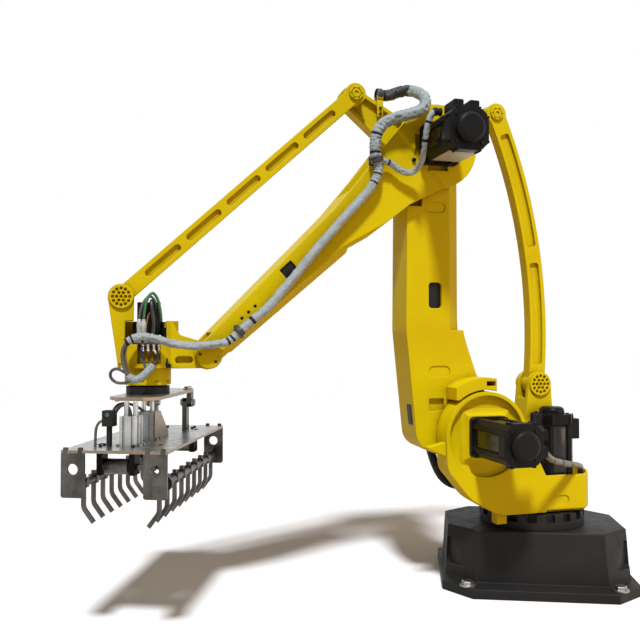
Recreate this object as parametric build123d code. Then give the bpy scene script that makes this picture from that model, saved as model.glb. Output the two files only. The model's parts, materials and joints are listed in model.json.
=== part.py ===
# Four-axis palletizing robot with a level-keeping linkage and a claw gripper for bags.
# Millimetres. X points forward along the arm, Y to the left, Z up.
# The origin lies on the floor under the slewing axis. The part is drawn in one working pose.
import math
import os

from build123d import *

# Main pivots
shoulder_x = 248
shoulder_z = 514
lower_arm_length = 970
lower_arm_lean = 9
upper_arm_length = 1022
upper_arm_drop = 42.5
rear_pivot_back = 272
rear_pivot_rise = 160
top_pivot_ahead = 259
top_pivot_rise = 180
tool_axis_ahead = 176
tool_face_drop = 115
tool_yaw = -22

# Clearances and shared small sizes
pin_play = 0.4
side_gap = 6
overrun = 5
edge_break = 3
mark_depth = 2.5

# Base
base_yaw = -22
base_height = 195
base_top_length = 592
base_top_width = 384
base_foot_length = 640
base_foot_width = 570
base_waist_length = 612
base_waist_width = 424
base_foot_height = 30
base_corner = 92
anchor_circle_r = 340
anchor_hole_r = 13
anchor_count = 4
anchor_turn = 45
base_pocket_width = 150
base_pocket_height = 90
base_pocket_depth = 26
base_pocket_corner = 14
ring_r = 178
ring_height = 52
ring_notch_count = 18
ring_notch_width = 30
ring_notch_height = 26
ring_notch_depth = 20
slew_spigot_r = 100
slew_spigot_depth = 40

# Turntable
tub_r = 192
tub_half_width = 152
tub_height = 122
tub_wall = 8
tub_floor = 20
tub_mark_length = 69
tub_mark_width = 31
tub_mark_x = -20
tub_mark_z = 291
housing_r = 146
housing_rim = 13
housing_recess = 40
housing_inner_y = 72
housing_front_drop = 106
housing_rib = 12
skirt_ahead = 60
skirt_drop = 205
skirt_toe_x = 208
skirt_high_r = 60
skirt_low_r = 130
shoulder_spigot_r = 58
shoulder_spigot_length = 34
shoulder_flange_r = 104
stop_fin_reach = 206
stop_fin_width = 30
stop_fin_foot = 90
stop_block_x = 182
stop_block_y = 104
stop_block_length = 36
stop_block_drop = 36

# Motors
motor_size = 132
motor_length = 251
motor_flange = 16
motor_bell = 34
motor_cap_r = 47
motor_cap_length = 24
motor_groove_depth = 7
motor_plug_height = 26
motor_plug_length = 68
slew_motor_size = 118
slew_motor_x = -33
slew_motor_y = 84.5
slew_mount_height = 76
motor_body_share = 0.93
motor_corner_share = 0.125
motor_bell_corner_share = 0.25
motor_groove_share = 0.45
motor_plug_share = 0.25
motor_plug_spread_share = 0.2
motor_dome_share = 0.6

# Rear link and its tower
rear_link_near_y = 2
rear_link_far_y = -38
rear_link_width = 62
rear_link_bow = 62
rear_boss_r = 37
rear_ear_near_y = 24
rear_ear_far_y = -60
rear_ear_r = 44
tower_foot_back = 95
tower_foot_ahead = 62
tower_window_low_r = 22
tower_window_high_r = 18
tower_window_drop = 132
link_pin_r = 17
link_pocket_depth = 9
rear_pocket_width = 34
rear_pocket_shares = ((0.07, 0.44), (0.5, 0.92))
cap_ring_shares = ((0, 1), (0.36, 6), (0.7, 12))
cap_hole_share = 0.13
cap_thick = 7

# Lower arm
lower_half_width = 65
lower_front = 244
lower_front_bulge = 6
lower_rear = 48
lower_rear_foot = 6
lower_toe = 212
lower_toe_drop = 32
lower_heel = 122
lower_heel_drop = 72
lower_top_r = 98
lower_hub_r = 112
lower_top_corner = 49
lower_bend_r = 320
lower_chamfer_x = 45
lower_chamfer_y = 38
lower_waist_share = 0.36
lower_knee_share = 0.2
lower_tongue_y = -18
lower_notch_drop = 88
window_width = 46
window_height = 86
window_depth = 43
window_share = 0.48
lower_mark_length = 77
lower_mark_width = 36
lower_mark_ahead = 131
lower_mark_rise = 210
lower_top_mark_drop = 196
hub_pocket_length = 54
hub_pocket_height = 41
hub_pocket_ahead = 142
hub_pocket_rise = 100
hub_pocket_depth = 12
shoulder_slot_length = 78
shoulder_slot_width = 22
shoulder_slot_rise = 66
top_pocket_length = 52
top_pocket_height = 34
top_pocket_drop = 178
top_pocket_depth = 28
elbow_pin_r = 34
stop_lug_inner_r = 152
stop_lug_outer_r = 192
stop_lug_ahead = 34
stop_lug_length = 146
stop_lug_hole_length = 32
stop_lug_hole_height = 15
stop_lug_hole_back = 18

# Elbow link
elbow_plate_near_y = -44
elbow_plate_far_y = -72
elbow_hub_near_y = -24
elbow_hub_r = 70
elbow_lug_r = 38
elbow_rim = 13
elbow_pocket_depth = 14

# Upper arm
fork_half_width = 106
fork_inner = 78
elbow_disc_r = 139
elbow_step_s = 70
elbow_step = 8
elbow_step_run = 10
motor_seat_reach = 81
motor_seat_width = 70
motor_seat_depth = 18
tip_inner = 72
tip_half_width = 104
tip_r = 42
tip_slot_back = 59
wrist_pin_r = 22
reducer_r = 96
upper_chamfer_n = 35
upper_chamfer_y = 46
upper_top_shares = ((0.24, 0.70), (0.40, 0.54))
upper_bottom_shares = ((0.46, -0.42), (0.2, -0.57))
upper_tip_share = 0.9
upper_chamfer_shares = ((0.27, -0.52, 0.05), (0.46, -0.42, 1), (1.05, -0.26, 0.85))
fork_slot_top_share = 2
fork_slot_bottom_share = 3.45
arm_window_s = 657
arm_window_n = 31
arm_window_length = 49
arm_window_height = 35
arm_window_depth = 24
arm_hole_r = 5
arm_hole_s = 842
arm_hole_n = 17
arm_hole_pitch = 28
arm_hole_count = 3

# Upper link
top_link_near_y = 24
top_link_far_y = -16
top_link_width = 52
top_boss_r = 35
top_slot_count = 5
top_slot_width = 22
top_slot_share = 0.82

# Wrist
wrist_tongue_half = 66
wrist_tongue_r = 38
wrist_hub_r = 70
wrist_hub_height = 66
wrist_face_lift = 27
cup_r = 92
cup_wall = 9
cup_floor = 14
cup_top = 107
cup_near_top = 36
cup_window_width = 68
cup_window_height = 58
cup_window_ahead = 178
gusset_top_back = 66
gusset_knee_back = 92
gusset_knee_rise = 64
gusset_low_ahead = 24
gusset_low_rise = 46
wrist_slot_length = 54
wrist_slot_width = 22
wrist_slot_ahead = 72
wrist_slot_drop = 12
wrist_strut_front = 268
wrist_strut_rear = 224
wrist_ear_r = 39
wrist_ear = 14
wrist_notch_count = 10
wrist_notch_width = 14
wrist_notch_height = 6
wrist_notch_depth = 3
wrist_notch_rise = 9
wrist_motor_size = 86
wrist_motor_length = 150
plug_box_length = 70
plug_box_height = 90
plug_box_top = 164
tool_spindle_r = 30
tool_spindle_length = 40

# Gripper
tool_flange_r = 66
tool_flange_height = 22
adapter_near = 190
adapter_far = 235
adapter_half_width = 75
adapter_corner = 38
adapter_thick = 10
frame_drop = 134
frame_width = 297
frame_length = 623
frame_thick = 8
frame_shift_x = -12
frame_shift_y = -5
frame_slot_length = 40
frame_slot_width = 12
frame_slot_x = 88
leg_width = 66
leg_height = 121
leg_thick = 8
leg_corner = 8
leg_hole_r = 15
leg_hole_drop = 44
leg_tab_width = 12
leg_tab_pitch = 42
leg_tab_rise = 7
claw_spread = 115
claw_drop = 101
claw_shaft_r = 12
claw_end_margin = 39.5
right_tines = 9
left_tines = 8
tine_width = 12
tine_thick = 8
tine_head = 24
tine_drop = 70
tine_reach = 110
tine_hook = 30
tine_block = 26
lever_pin_height = 45
lever_lean = 35
lever_thick = 10
lever_width = 28
lever_foot_r = 22
lever_tip = 64
cylinder_inset = 86.5
cylinder_tail = 75
cylinder_nose = 35
cylinder_r = 20
cylinder_block = 44
cylinder_end = 16
rod_r = 8
rod_pin_r = 5
rod_cheek = 9
rod_fork_depth = 36
post_side = 50
post_groove = 8
post_groove_depth = 6
post_height = 84
post_near_inset = 103.5
post_mid_y = 68
post_x = -10
neck_r = 7
neck_pitch = 26
strap_width = 30
strap_thick = 15
strap_pin_r = 8
strap_pin_drop = 34
gusset_thick = 6
gusset_length = 78
gusset_toe = 12
valve_pipe_r = 8
valve_pipe_height = 55
valve_side = 34
valve_height = 44
valve_x = 52
valve_y = 212

# Hoses and their holders. The routes are places along the hoses, chosen by hand.
elbow_hose_r = 20
motor_lead_r = 12
arm_hose_r = 16
wrist_hose_r = 13
conduit_r = 15
cable_r = 10
hose_run_share = 0.45
bracket_back = 146
bracket_length = 24
bracket_height = 46
bracket_rise = 200
bracket_near_y = -8
bracket_far_y = -60
bracket_foot = 80
tie_ahead = 216
tie_drop = 66
tie_length = 56
tie_height = 28
tie_reach = 44
clamp_s = 905
clamp_n = -6
clamp_length = 36
clamp_height = 40
clamp_reach = 46
fitting_plate = 6
fitting_length = 88
fitting_depth = 30
fitting_count = 4
fitting_pitch = 20
fitting_r = 6
fitting_height = 16
# From the elbow axis
elbow_hose_route = [
    (145.7, -34, 200), (121, -34, 200), (95, -22, 211), (72, 20, 208), (58, 70, 186),
    (51, 114, 160), (55, 136, 126), (75, 141, 103), (113, 140, 89), (161, 137, 76), (205, 133, 53),
    (228, 131, 16), (230, 130, -24), (230, 130, -51.7),
]
motor_lead_route = [
    (187.7, 124, -68), (170, 124, -68), (149, 125, -90), (118, 128, -103), (94, 138, -95),
    (86, 162, -76), (87, 190, -44), (90, 212, 0), (86, 222, 44), (72, 224, 76), (43.2, 224, 76),
]
arm_hose_route = [
    (218, 130, -80.3), (218, 130, -104), (231, 129, -143), (262, 127, -192), (314, 124, -266),
    (380, 123, -346), (446, 123, -421), (510, 122, -485), (573, 121, -545), (627.6, 121, -583.2),
    (649.7, 121, -603.5),
]
# From the wrist axis
wrist_hose_route = [
    (-76.8, 121, 62.3), (-57.1, 121, 44.2), (-24, 126, 36), (18, 129, 32), (62, 129, 31),
    (106, 127, 36), (150, 123, 50), (190, 120, 60), (222, 118, 56), (246, 117, 41), (256, 116, 16),
    (254, 116, -14), (243, 116, -45), (221, 116, -64), (196, 115, -62), (178, 113, -44),
    (170, 108, -20), (168, 97, 3), (168, 79, 15), (168, 79, 35.7),
]
# From the slewing axis at floor level
conduit_route = [
    (92, -152.3, 305), (92, -174, 305), (112, -190, 298), (150, -192, 292), (196, -176, 292),
    (242, -150, 306), (286, -126, 336), (318, -112, 384), (338, -108, 440), (354, -110, 498),
    (366, -114, 552), (375, -108, 588), (380, -90, 606), (380, -65.3, 606),
]
motor_cable_route = [
    (155.7, 298, 488), (134, 298, 488), (112, 288, 464), (78, 262, 446), (36, 232, 434),
    (-10, 204, 422), (-56, 172, 412), (-98, 142, 404), (-128, 112, 392), (-138, 96, 364),
    (-138, 96, 273.3),
]


def move(p, angle, distance):
    a = math.radians(angle)
    return (p[0] + distance * math.cos(a), p[1] + distance * math.sin(a))


def shift(p, dx, dz):
    return (p[0] + dx, p[1] + dz)


shoulder = (shoulder_x, shoulder_z)
elbow = move(shoulder, 90 - lower_arm_lean, lower_arm_length)
wrist = move(elbow, -upper_arm_drop, upper_arm_length)
rear_low = shift(shoulder, -rear_pivot_back, rear_pivot_rise)
rear_high = shift(elbow, -rear_pivot_back, rear_pivot_rise)
top_high = shift(elbow, top_pivot_ahead, top_pivot_rise)
top_low = shift(wrist, top_pivot_ahead, top_pivot_rise)
tool_x = wrist[0] + tool_axis_ahead
tool_z = wrist[1] - tool_face_drop
hub_bottom = wrist_face_lift - tool_face_drop
hub_top = hub_bottom + wrist_hub_height
frame_top = tool_z - frame_drop
frame_under = frame_top - frame_thick
claw_z = frame_top - claw_drop
claw_pitch = (frame_length - 2 * claw_end_margin) / (right_tines - 1)
cylinder_y = frame_length / 2 - cylinder_inset
lever_pin_z = claw_z + lever_pin_height
lever_swing = lever_pin_height * math.tan(math.radians(lever_lean))
ring_top = base_height + ring_height
tub_bottom = ring_top + side_gap
tub_top = tub_bottom + tub_height
arm_face_y = fork_half_width - elbow_step
on_floor = (Align.CENTER, Align.CENTER, Align.MIN)


def side_plane(y):
    return Plane(origin=(0, y, 0), x_dir=(1, 0, 0), z_dir=(0, -1, 0))


def slab(sketch, y_low, y_high):
    return extrude(side_plane(y_high) * sketch, y_high - y_low)


def disc(p, r):
    return Pos(p[0], p[1]) * Circle(r)


def pin(p, r, y_low, y_high):
    return slab(disc(p, r), y_low, y_high)


def outline(points, radii):
    return make_face(FilletPolyline(*points, radius=radii, close=True))


def polygon(*points):
    return make_face(Polyline(*points, close=True))


def taper(p, rp, q, rq):
    return make_hull((disc(p, rp) + disc(q, rq)).edges())


def arm_point(s, n):
    along = move(elbow, -upper_arm_drop, s)
    return move(along, 90 - upper_arm_drop, n)


def from_shoulder(dx, dz):
    return shift(shoulder, dx, dz)


def from_wrist(dx, dz):
    return shift(wrist, dx, dz)


def base_outline(length, width, z):
    sketch = Rectangle(length, width)
    return Pos(0, 0, z) * chamfer(sketch.vertices(), base_corner)


def base_casting():
    foot = extrude(base_outline(base_foot_length, base_foot_width, 0), base_foot_height)
    low = base_outline(base_waist_length, base_waist_width, base_foot_height)
    high = base_outline(base_top_length, base_top_width, base_height)
    body = foot + loft([low, high])
    body = chamfer(body.faces().sort_by(Axis.Z)[-1].edges(), edge_break)
    window = RectangleRounded(base_pocket_width, base_pocket_height, base_pocket_corner)
    pocket = extrude(Plane.YZ * window, base_pocket_depth, both=True)
    across = math.hypot(base_waist_length, base_waist_width) / 2
    turn = math.degrees(math.atan2(base_top_width, base_top_length))
    mid_z = (base_height + base_foot_height) / 2
    for side in (turn, 180 - turn, 180 + turn, -turn):
        body -= Rot(0, 0, side) * Pos(across - base_corner / 2, 0, mid_z) * pocket
    body -= Pos(0, 0, base_height) * Cylinder(slew_spigot_r + pin_play, 2 * slew_spigot_depth)
    hole = Pos(0, 0, base_foot_height / 2) * Cylinder(anchor_hole_r, base_foot_height + overrun)
    for spot in PolarLocations(anchor_circle_r, anchor_count, anchor_turn):
        body -= spot * hole
    return Rot(0, 0, base_yaw) * body


def slew_ring():
    ring = extrude(Circle(ring_r) - Circle(slew_spigot_r + pin_play), ring_height)
    notch = Pos(0, 0, ring_height) * Box(2 * ring_notch_depth, ring_notch_width, 2 * ring_notch_height)
    for spot in PolarLocations(ring_r, ring_notch_count):
        ring -= spot * notch
    return Pos(0, 0, base_height) * ring


def tub():
    plan = Circle(tub_r) & Rectangle(2 * tub_r, 2 * tub_half_width)
    body = Pos(0, 0, tub_bottom) * extrude(plan, tub_height)
    body = chamfer(body.faces().sort_by(Axis.Z)[0].edges(), tub_wall)
    body -= Pos(0, 0, tub_bottom + tub_floor) * extrude(offset(plan, -tub_wall), tub_height)
    mark = Pos(tub_mark_x, tub_mark_z) * SlotOverall(tub_mark_length, tub_mark_width)
    return body - slab(mark, tub_half_width - mark_depth, tub_half_width + overrun)


def shoulder_housing():
    heel_x = slew_motor_x + slew_motor_size / 2 + side_gap
    skirt = outline(
        [
            from_shoulder(housing_r, 0),
            from_shoulder(housing_r - edge_break, -housing_front_drop),
            from_shoulder(skirt_ahead, -skirt_drop),
            (skirt_toe_x, tub_bottom),
            (heel_x, tub_bottom),
            (heel_x, tub_top),
            from_shoulder(-housing_r, 0),
        ],
        [edge_break, skirt_high_r, skirt_low_r, skirt_low_r, edge_break, edge_break, edge_break],
    )
    fin = polygon(
        from_shoulder(housing_r / 2, 0),
        from_shoulder(stop_fin_reach, -stop_fin_width),
        from_shoulder(stop_fin_reach, -stop_fin_width - side_gap),
        from_shoulder(housing_r / 2, -stop_fin_foot),
    )
    body = slab(disc(shoulder, housing_r) + skirt, housing_inner_y, tub_half_width)
    body += slab(fin, tub_half_width - stop_fin_width - tub_wall, tub_half_width - tub_wall)
    recess_r = housing_r - housing_rim
    recess_y = tub_half_width - housing_recess
    body -= pin(shoulder, recess_r, recess_y, tub_half_width + overrun)
    rib = Rectangle(2 * recess_r, housing_rib)
    ribs = Rot(0, 0, 45) * rib + Rot(0, 0, -45) * rib
    body += slab(Pos(*shoulder) * ribs, recess_y, tub_half_width - housing_recess / 2)
    pad = Rectangle(motor_size, motor_size)
    pad = Pos(*shoulder) * fillet(pad.vertices(), housing_rib)
    return body + slab(pad, housing_inner_y, tub_half_width)


def turntable_casting():
    body = tub() + shoulder_housing()
    block_height = stop_block_drop + tub_floor
    block = Box(stop_block_length, stop_block_length, block_height, align=on_floor)
    body += Pos(stop_block_x, stop_block_y, tub_bottom - stop_block_drop) * block
    spigot_length = slew_spigot_depth + side_gap + ring_height
    body += Pos(0, 0, tub_bottom - spigot_length) * Cylinder(slew_spigot_r, spigot_length, align=on_floor)
    mount = Box(slew_motor_size, slew_motor_size, slew_mount_height, align=on_floor)
    body += Pos(slew_motor_x, slew_motor_y, tub_bottom + tub_floor) * mount
    depth = housing_inner_y + shoulder_spigot_length
    return body - pin(shoulder, shoulder_spigot_r + pin_play, 0, depth)


def motor(size, length):
    flange_face = Rectangle(size, size)
    flange = extrude(fillet(flange_face.vertices(), size * motor_corner_share), motor_flange)
    body_side = size * motor_body_share
    body_face = Rectangle(body_side, body_side)
    body_face = chamfer(body_face.vertices(), size * motor_corner_share)
    groove = Rectangle(size * motor_groove_share, 2 * motor_groove_depth)
    for turn in range(4):
        body_face -= Rot(0, 0, turn * 90) * Pos(0, body_side / 2) * groove
    bell_face = Rectangle(size, size)
    bell_face = chamfer(bell_face.vertices(), size * motor_bell_corner_share)
    bell_top = length - motor_cap_length
    shell = extrude(body_face, bell_top)
    bell = Pos(0, 0, bell_top - motor_bell) * extrude(bell_face, motor_bell)
    cap = Cylinder(motor_cap_r * size / motor_size, motor_cap_length, align=on_floor)
    cap = fillet(cap.edges().sort_by(Axis.Z)[-1], motor_cap_length * motor_dome_share)
    plug_side = size * motor_plug_share
    plug_rise = motor_plug_height + size / 2
    plug = Box(plug_side, plug_rise, motor_plug_length, align=(Align.CENTER, Align.MIN, Align.MAX))
    plug = chamfer(plug.edges().filter_by(Axis.Z).group_by(Axis.Y)[-1], edge_break)
    whole = flange + shell + bell + Pos(0, 0, bell_top) * cap
    spread = size * motor_plug_spread_share
    for along in (-spread, spread):
        whole += Pos(along, 0, bell_top - motor_bell / 2) * plug
    return whole


def side_motor(p, y, plugs_toward):
    roll = Vector(plugs_toward).cross(Vector(0, 1, 0))
    place = Plane(origin=(p[0], y, p[1]), x_dir=roll, z_dir=(0, 1, 0))
    return place * motor(motor_size, motor_length)


def shoulder_motor():
    return side_motor(shoulder, tub_half_width, (-1, 0, 0))


def slew_motor():
    z = tub_bottom + tub_floor + slew_mount_height
    place = Plane(origin=(slew_motor_x, slew_motor_y, z), x_dir=(0, 1, 0), z_dir=(0, 0, 1))
    return place * motor(slew_motor_size, motor_length)


def link_tower():
    z_foot = tub_bottom + tub_floor
    shape = polygon(
        (-tower_foot_back, z_foot),
        (tower_foot_ahead, z_foot),
        shift(rear_low, rear_ear_r, 0),
        shift(rear_low, -rear_ear_r, 0),
    )
    body = slab(shape + disc(rear_low, rear_ear_r), rear_ear_far_y, rear_ear_near_y)
    slot = Box(4 * rear_ear_r, rear_link_near_y - rear_link_far_y + 2 * side_gap, 4 * rear_ear_r)
    slot_y = (rear_link_near_y + rear_link_far_y) / 2
    slot_z = rear_low[1] + rear_ear_r - side_gap
    body -= Pos(rear_low[0], slot_y, slot_z) * slot
    window_low = (rear_low[0], tub_top)
    window_high = shift(rear_low, 0, -tower_window_drop)
    window = taper(window_low, tower_window_low_r, window_high, tower_window_high_r)
    body -= slab(window, rear_ear_far_y - overrun, rear_ear_near_y + overrun)
    return body + pin(rear_low, link_pin_r, rear_ear_far_y, rear_ear_near_y)


def pin_cap(p, r, y):
    body = pin(p, r, y, y + cap_thick)
    for ring_share, count in cap_ring_shares:
        for spot in PolarLocations(r * ring_share, count):
            at = (p[0] + spot.position.X, p[1] + spot.position.Y)
            body -= pin(at, r * cap_hole_share, y + edge_break / 2, y + cap_thick + overrun)
    return body


def tower_cap():
    return pin_cap(rear_low, rear_ear_r - edge_break, rear_ear_near_y)


def lower_arm_outline():
    top = elbow[1] - shoulder_z
    waist = lower_arm_length * lower_waist_share
    corners = [
        (lower_front, top, lower_top_corner),
        (lower_front + lower_front_bulge, waist, lower_top_r),
        (lower_toe, -lower_toe_drop, lower_half_width),
        (lower_heel, -lower_heel_drop, lower_half_width),
        (0, -lower_hub_r, lower_top_corner),
        (-lower_hub_r, 0, lower_top_corner),
        (-lower_rear_foot, lower_arm_length * lower_knee_share, lower_bend_r),
        (lower_rear, waist, lower_bend_r),
        (lower_rear, top, lower_top_corner),
    ]
    points = [from_shoulder(dx, dz) for dx, dz, r in corners]
    shape = outline(points, [r for dx, dz, r in corners])
    return shape + disc(shoulder, lower_hub_r) + disc(elbow, lower_top_r)


def lower_arm_casting():
    body = slab(lower_arm_outline(), -lower_half_width, lower_half_width)
    rear_x = shoulder_x + lower_rear
    waist_z = shoulder_z + lower_arm_length * lower_waist_share
    for side in (-1, 1):
        edge_y = side * lower_half_width
        wedge = polygon(
            (rear_x - lower_chamfer_x, edge_y - 2 * side * lower_chamfer_y),
            (rear_x + 2 * lower_chamfer_x, edge_y + side * lower_chamfer_y),
            (rear_x - lower_chamfer_x, edge_y + side * lower_chamfer_y),
        )
        body -= Pos(0, 0, waist_z) * extrude(wedge, lower_arm_length)
    above = Box(6 * lower_top_r, 2 * lower_half_width, 6 * lower_top_r)
    cut_z = elbow[1] - lower_notch_drop + 3 * lower_top_r
    body -= Pos(elbow[0], lower_tongue_y - lower_half_width, cut_z) * above
    middle = (lower_front + lower_rear) / 2
    face = lower_half_width + overrun
    window = RectangleRounded(window_width, window_height, window_width / 4)
    window = Pos(*from_shoulder(middle, lower_arm_length * window_share)) * window
    body -= slab(window, lower_half_width - window_depth, face)
    mark = SlotOverall(lower_mark_length, lower_mark_width)
    low_mark = Pos(*from_shoulder(lower_mark_ahead, lower_mark_rise)) * mark
    high_mark = Pos(shoulder_x + middle, elbow[1] - lower_top_mark_drop) * mark
    body -= slab(low_mark + high_mark, lower_half_width - mark_depth, face)
    hub_pocket = RectangleRounded(hub_pocket_length, hub_pocket_height, edge_break)
    hub_pocket = Pos(*from_shoulder(hub_pocket_ahead, hub_pocket_rise)) * hub_pocket
    body -= slab(hub_pocket, lower_half_width - hub_pocket_depth, face)
    top_pocket = Rectangle(top_pocket_length, top_pocket_height)
    top_pocket_x = shoulder_x + lower_front - top_pocket_length / 2
    top_pocket = Pos(top_pocket_x, elbow[1] - top_pocket_drop) * top_pocket
    body -= slab(top_pocket, lower_half_width - top_pocket_depth, face)
    slot = SlotOverall(shoulder_slot_length, shoulder_slot_width)
    front = Plane.YZ.offset(shoulder_x + lower_front + lower_front_bulge)
    slot = front * Pos(0, shoulder_z + shoulder_slot_rise) * Rot(0, 0, 90) * slot
    body -= extrude(slot, -2 * hub_pocket_depth)
    lug = disc(shoulder, stop_lug_outer_r) - disc(shoulder, stop_lug_inner_r)
    lug_part = Rectangle(stop_lug_length, stop_lug_length)
    lug &= Pos(*from_shoulder(stop_lug_ahead, stop_lug_outer_r)) * lug_part
    lug_hole = Rectangle(stop_lug_hole_length, stop_lug_hole_height)
    lug -= Pos(*from_shoulder(-stop_lug_hole_back, (stop_lug_inner_r + stop_lug_outer_r) / 2)) * lug_hole
    body += slab(lug, lower_half_width / 2, tub_half_width - tub_wall)
    body += pin(elbow, elbow_pin_r, -fork_half_width, 0)
    body += pin(shoulder, shoulder_flange_r, 0, housing_inner_y - pin_play)
    return body + pin(shoulder, shoulder_spigot_r, 0, housing_inner_y + shoulder_spigot_length - pin_play)


def rear_link():
    mid = ((rear_low[0] + rear_high[0]) / 2 - rear_link_bow, (rear_low[1] + rear_high[1]) / 2)
    bow = ThreePointArc(rear_low, mid, rear_high)
    shape = trace(bow, rear_link_width) + disc(rear_low, rear_boss_r) + disc(rear_high, rear_boss_r)
    body = slab(shape, rear_link_far_y, rear_link_near_y)
    for start, end in rear_pocket_shares:
        pocket = trace(bow.trim(start, end), rear_pocket_width)
        pocket = fillet(pocket.vertices(), rear_pocket_width / 4)
        body -= slab(pocket, rear_link_near_y - link_pocket_depth, rear_link_near_y + overrun)
        body -= slab(pocket, rear_link_far_y - overrun, rear_link_far_y + link_pocket_depth)
    for p in (rear_low, rear_high):
        body -= pin(p, link_pin_r + pin_play, rear_link_far_y - overrun, rear_link_near_y + overrun)
    return body


def elbow_link():
    front = taper(elbow, elbow_hub_r, top_high, elbow_lug_r)
    rear = taper(elbow, elbow_hub_r, rear_high, elbow_lug_r)
    body = slab(front, elbow_plate_far_y, elbow_hub_near_y)
    body += slab(rear, elbow_plate_far_y, elbow_plate_near_y)
    hub = disc(elbow, elbow_hub_r)
    front_pocket = offset(front, -elbow_rim) - hub - disc(top_high, elbow_lug_r)
    body -= slab(front_pocket, elbow_hub_near_y - elbow_pocket_depth, elbow_hub_near_y + overrun)
    rear_pocket = offset(rear, -elbow_rim) - hub - disc(rear_high, elbow_lug_r)
    body -= slab(rear_pocket, elbow_plate_near_y - elbow_pocket_depth / 2, elbow_plate_near_y + overrun)
    body -= slab(front_pocket, elbow_plate_far_y - overrun, elbow_plate_far_y + elbow_pocket_depth / 2)
    body -= pin(elbow, elbow_pin_r + pin_play, elbow_plate_far_y - overrun, elbow_hub_near_y + overrun)
    body += pin(top_high, link_pin_r, elbow_hub_near_y, top_link_near_y)
    return body + pin(rear_high, link_pin_r, elbow_plate_near_y, rear_link_near_y)


def upper_arm_outline():
    tip_corner = tip_r / 2
    corners = [(0, elbow_disc_r, tip_r)]
    for s_share, n_share in upper_top_shares:
        corners.append((upper_arm_length * s_share, elbow_disc_r * n_share, elbow_disc_r))
    corners.append((upper_arm_length, tip_r, tip_corner))
    corners.append((upper_arm_length, -tip_r * upper_tip_share, tip_corner))
    for s_share, n_share in upper_bottom_shares:
        corners.append((upper_arm_length * s_share, elbow_disc_r * n_share, tip_r))
    corners.append((0, -elbow_disc_r, tip_r))
    shape = outline([arm_point(s, n) for s, n, r in corners], [r for s, n, r in corners])
    return shape + disc(elbow, elbow_disc_r) + disc(wrist, tip_r)


def arm_section(s):
    origin = arm_point(s, 0)
    a = math.radians(upper_arm_drop)
    return Plane(origin=(origin[0], 0, origin[1]), x_dir=(0, 1, 0), z_dir=(math.cos(a), 0, -math.sin(a)))


def arm_chamfer(side):
    sections = []
    for s_share, n_share, size_share in upper_chamfer_shares:
        edge_n = elbow_disc_r * n_share
        corner = polygon(
            (side * (fork_half_width + overrun), edge_n + upper_chamfer_n * size_share),
            (side * (arm_face_y - upper_chamfer_y * size_share), edge_n - overrun),
            (side * (fork_half_width + overrun), edge_n - upper_chamfer_n),
        )
        sections.append(arm_section(upper_arm_length * s_share) * corner)
    return loft(sections, ruled=True)


def face_step(side):
    a = math.radians(upper_arm_drop)
    along = (math.cos(a), 0, -math.sin(a))
    plan = Plane(origin=(elbow[0], 0, elbow[1]), x_dir=along, z_dir=(math.sin(a), 0, math.cos(a)))
    beyond = upper_arm_length + 2 * tip_r
    step = polygon(
        (elbow_step_s, side * fork_half_width),
        (elbow_step_s + elbow_step_run, side * arm_face_y),
        (beyond, side * arm_face_y),
        (beyond, side * (fork_half_width + overrun)),
        (elbow_step_s, side * (fork_half_width + overrun)),
    )
    return extrude(plan * step, 2 * elbow_disc_r, both=True)


def upper_arm_casting():
    body = slab(upper_arm_outline(), -fork_half_width, fork_half_width)
    for side in (-1, 1):
        body -= arm_chamfer(side)
        body -= face_step(side)
    far = 2 * elbow_disc_r
    slot_top = elbow_disc_r * fork_slot_top_share
    slot_bottom = elbow_disc_r * fork_slot_bottom_share
    fork_slot = polygon(
        arm_point(-far, far),
        arm_point(slot_top, far),
        arm_point(slot_top, elbow_disc_r),
        arm_point(slot_bottom, -elbow_disc_r / 2),
        arm_point(slot_bottom, -far),
        arm_point(-far, -far),
    )
    body -= slab(fork_slot, -fork_inner, fork_inner)
    tip_slot = polygon(
        arm_point(upper_arm_length - tip_slot_back, 2 * tip_r),
        arm_point(upper_arm_length + 2 * tip_r, 2 * tip_r),
        arm_point(upper_arm_length + 2 * tip_r, -2 * tip_r),
        arm_point(upper_arm_length - tip_slot_back, -2 * tip_r),
    )
    body -= slab(tip_slot, -tip_inner, tip_inner)
    seat = Rectangle(2 * motor_seat_reach, motor_seat_width)
    seat += Rot(0, 0, 90) * seat
    core = motor_seat_width + 2 * edge_break
    seat -= Rectangle(core, core)
    body -= slab(Pos(*elbow) * seat, fork_half_width - motor_seat_depth, fork_half_width + overrun)
    window = Rot(0, 0, -upper_arm_drop) * RectangleRounded(arm_window_length, arm_window_height, edge_break)
    window = Pos(*arm_point(arm_window_s, arm_window_n)) * window
    body -= slab(window, arm_face_y - arm_window_depth, arm_face_y + overrun)
    for index in range(arm_hole_count):
        at = arm_point(arm_hole_s + (index - 1) * arm_hole_pitch, arm_hole_n)
        body -= pin(at, arm_hole_r, arm_face_y - arm_window_depth, arm_face_y + overrun)
    body -= pin(elbow, elbow_pin_r + pin_play, -fork_half_width - overrun, 0)
    body -= pin(wrist, wrist_pin_r + pin_play, -fork_half_width - overrun, fork_half_width + overrun)
    return body + pin(elbow, reducer_r, lower_half_width + pin_play, fork_inner)


def elbow_motor():
    return side_motor(elbow, fork_half_width, (0, 0, 1))


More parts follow.
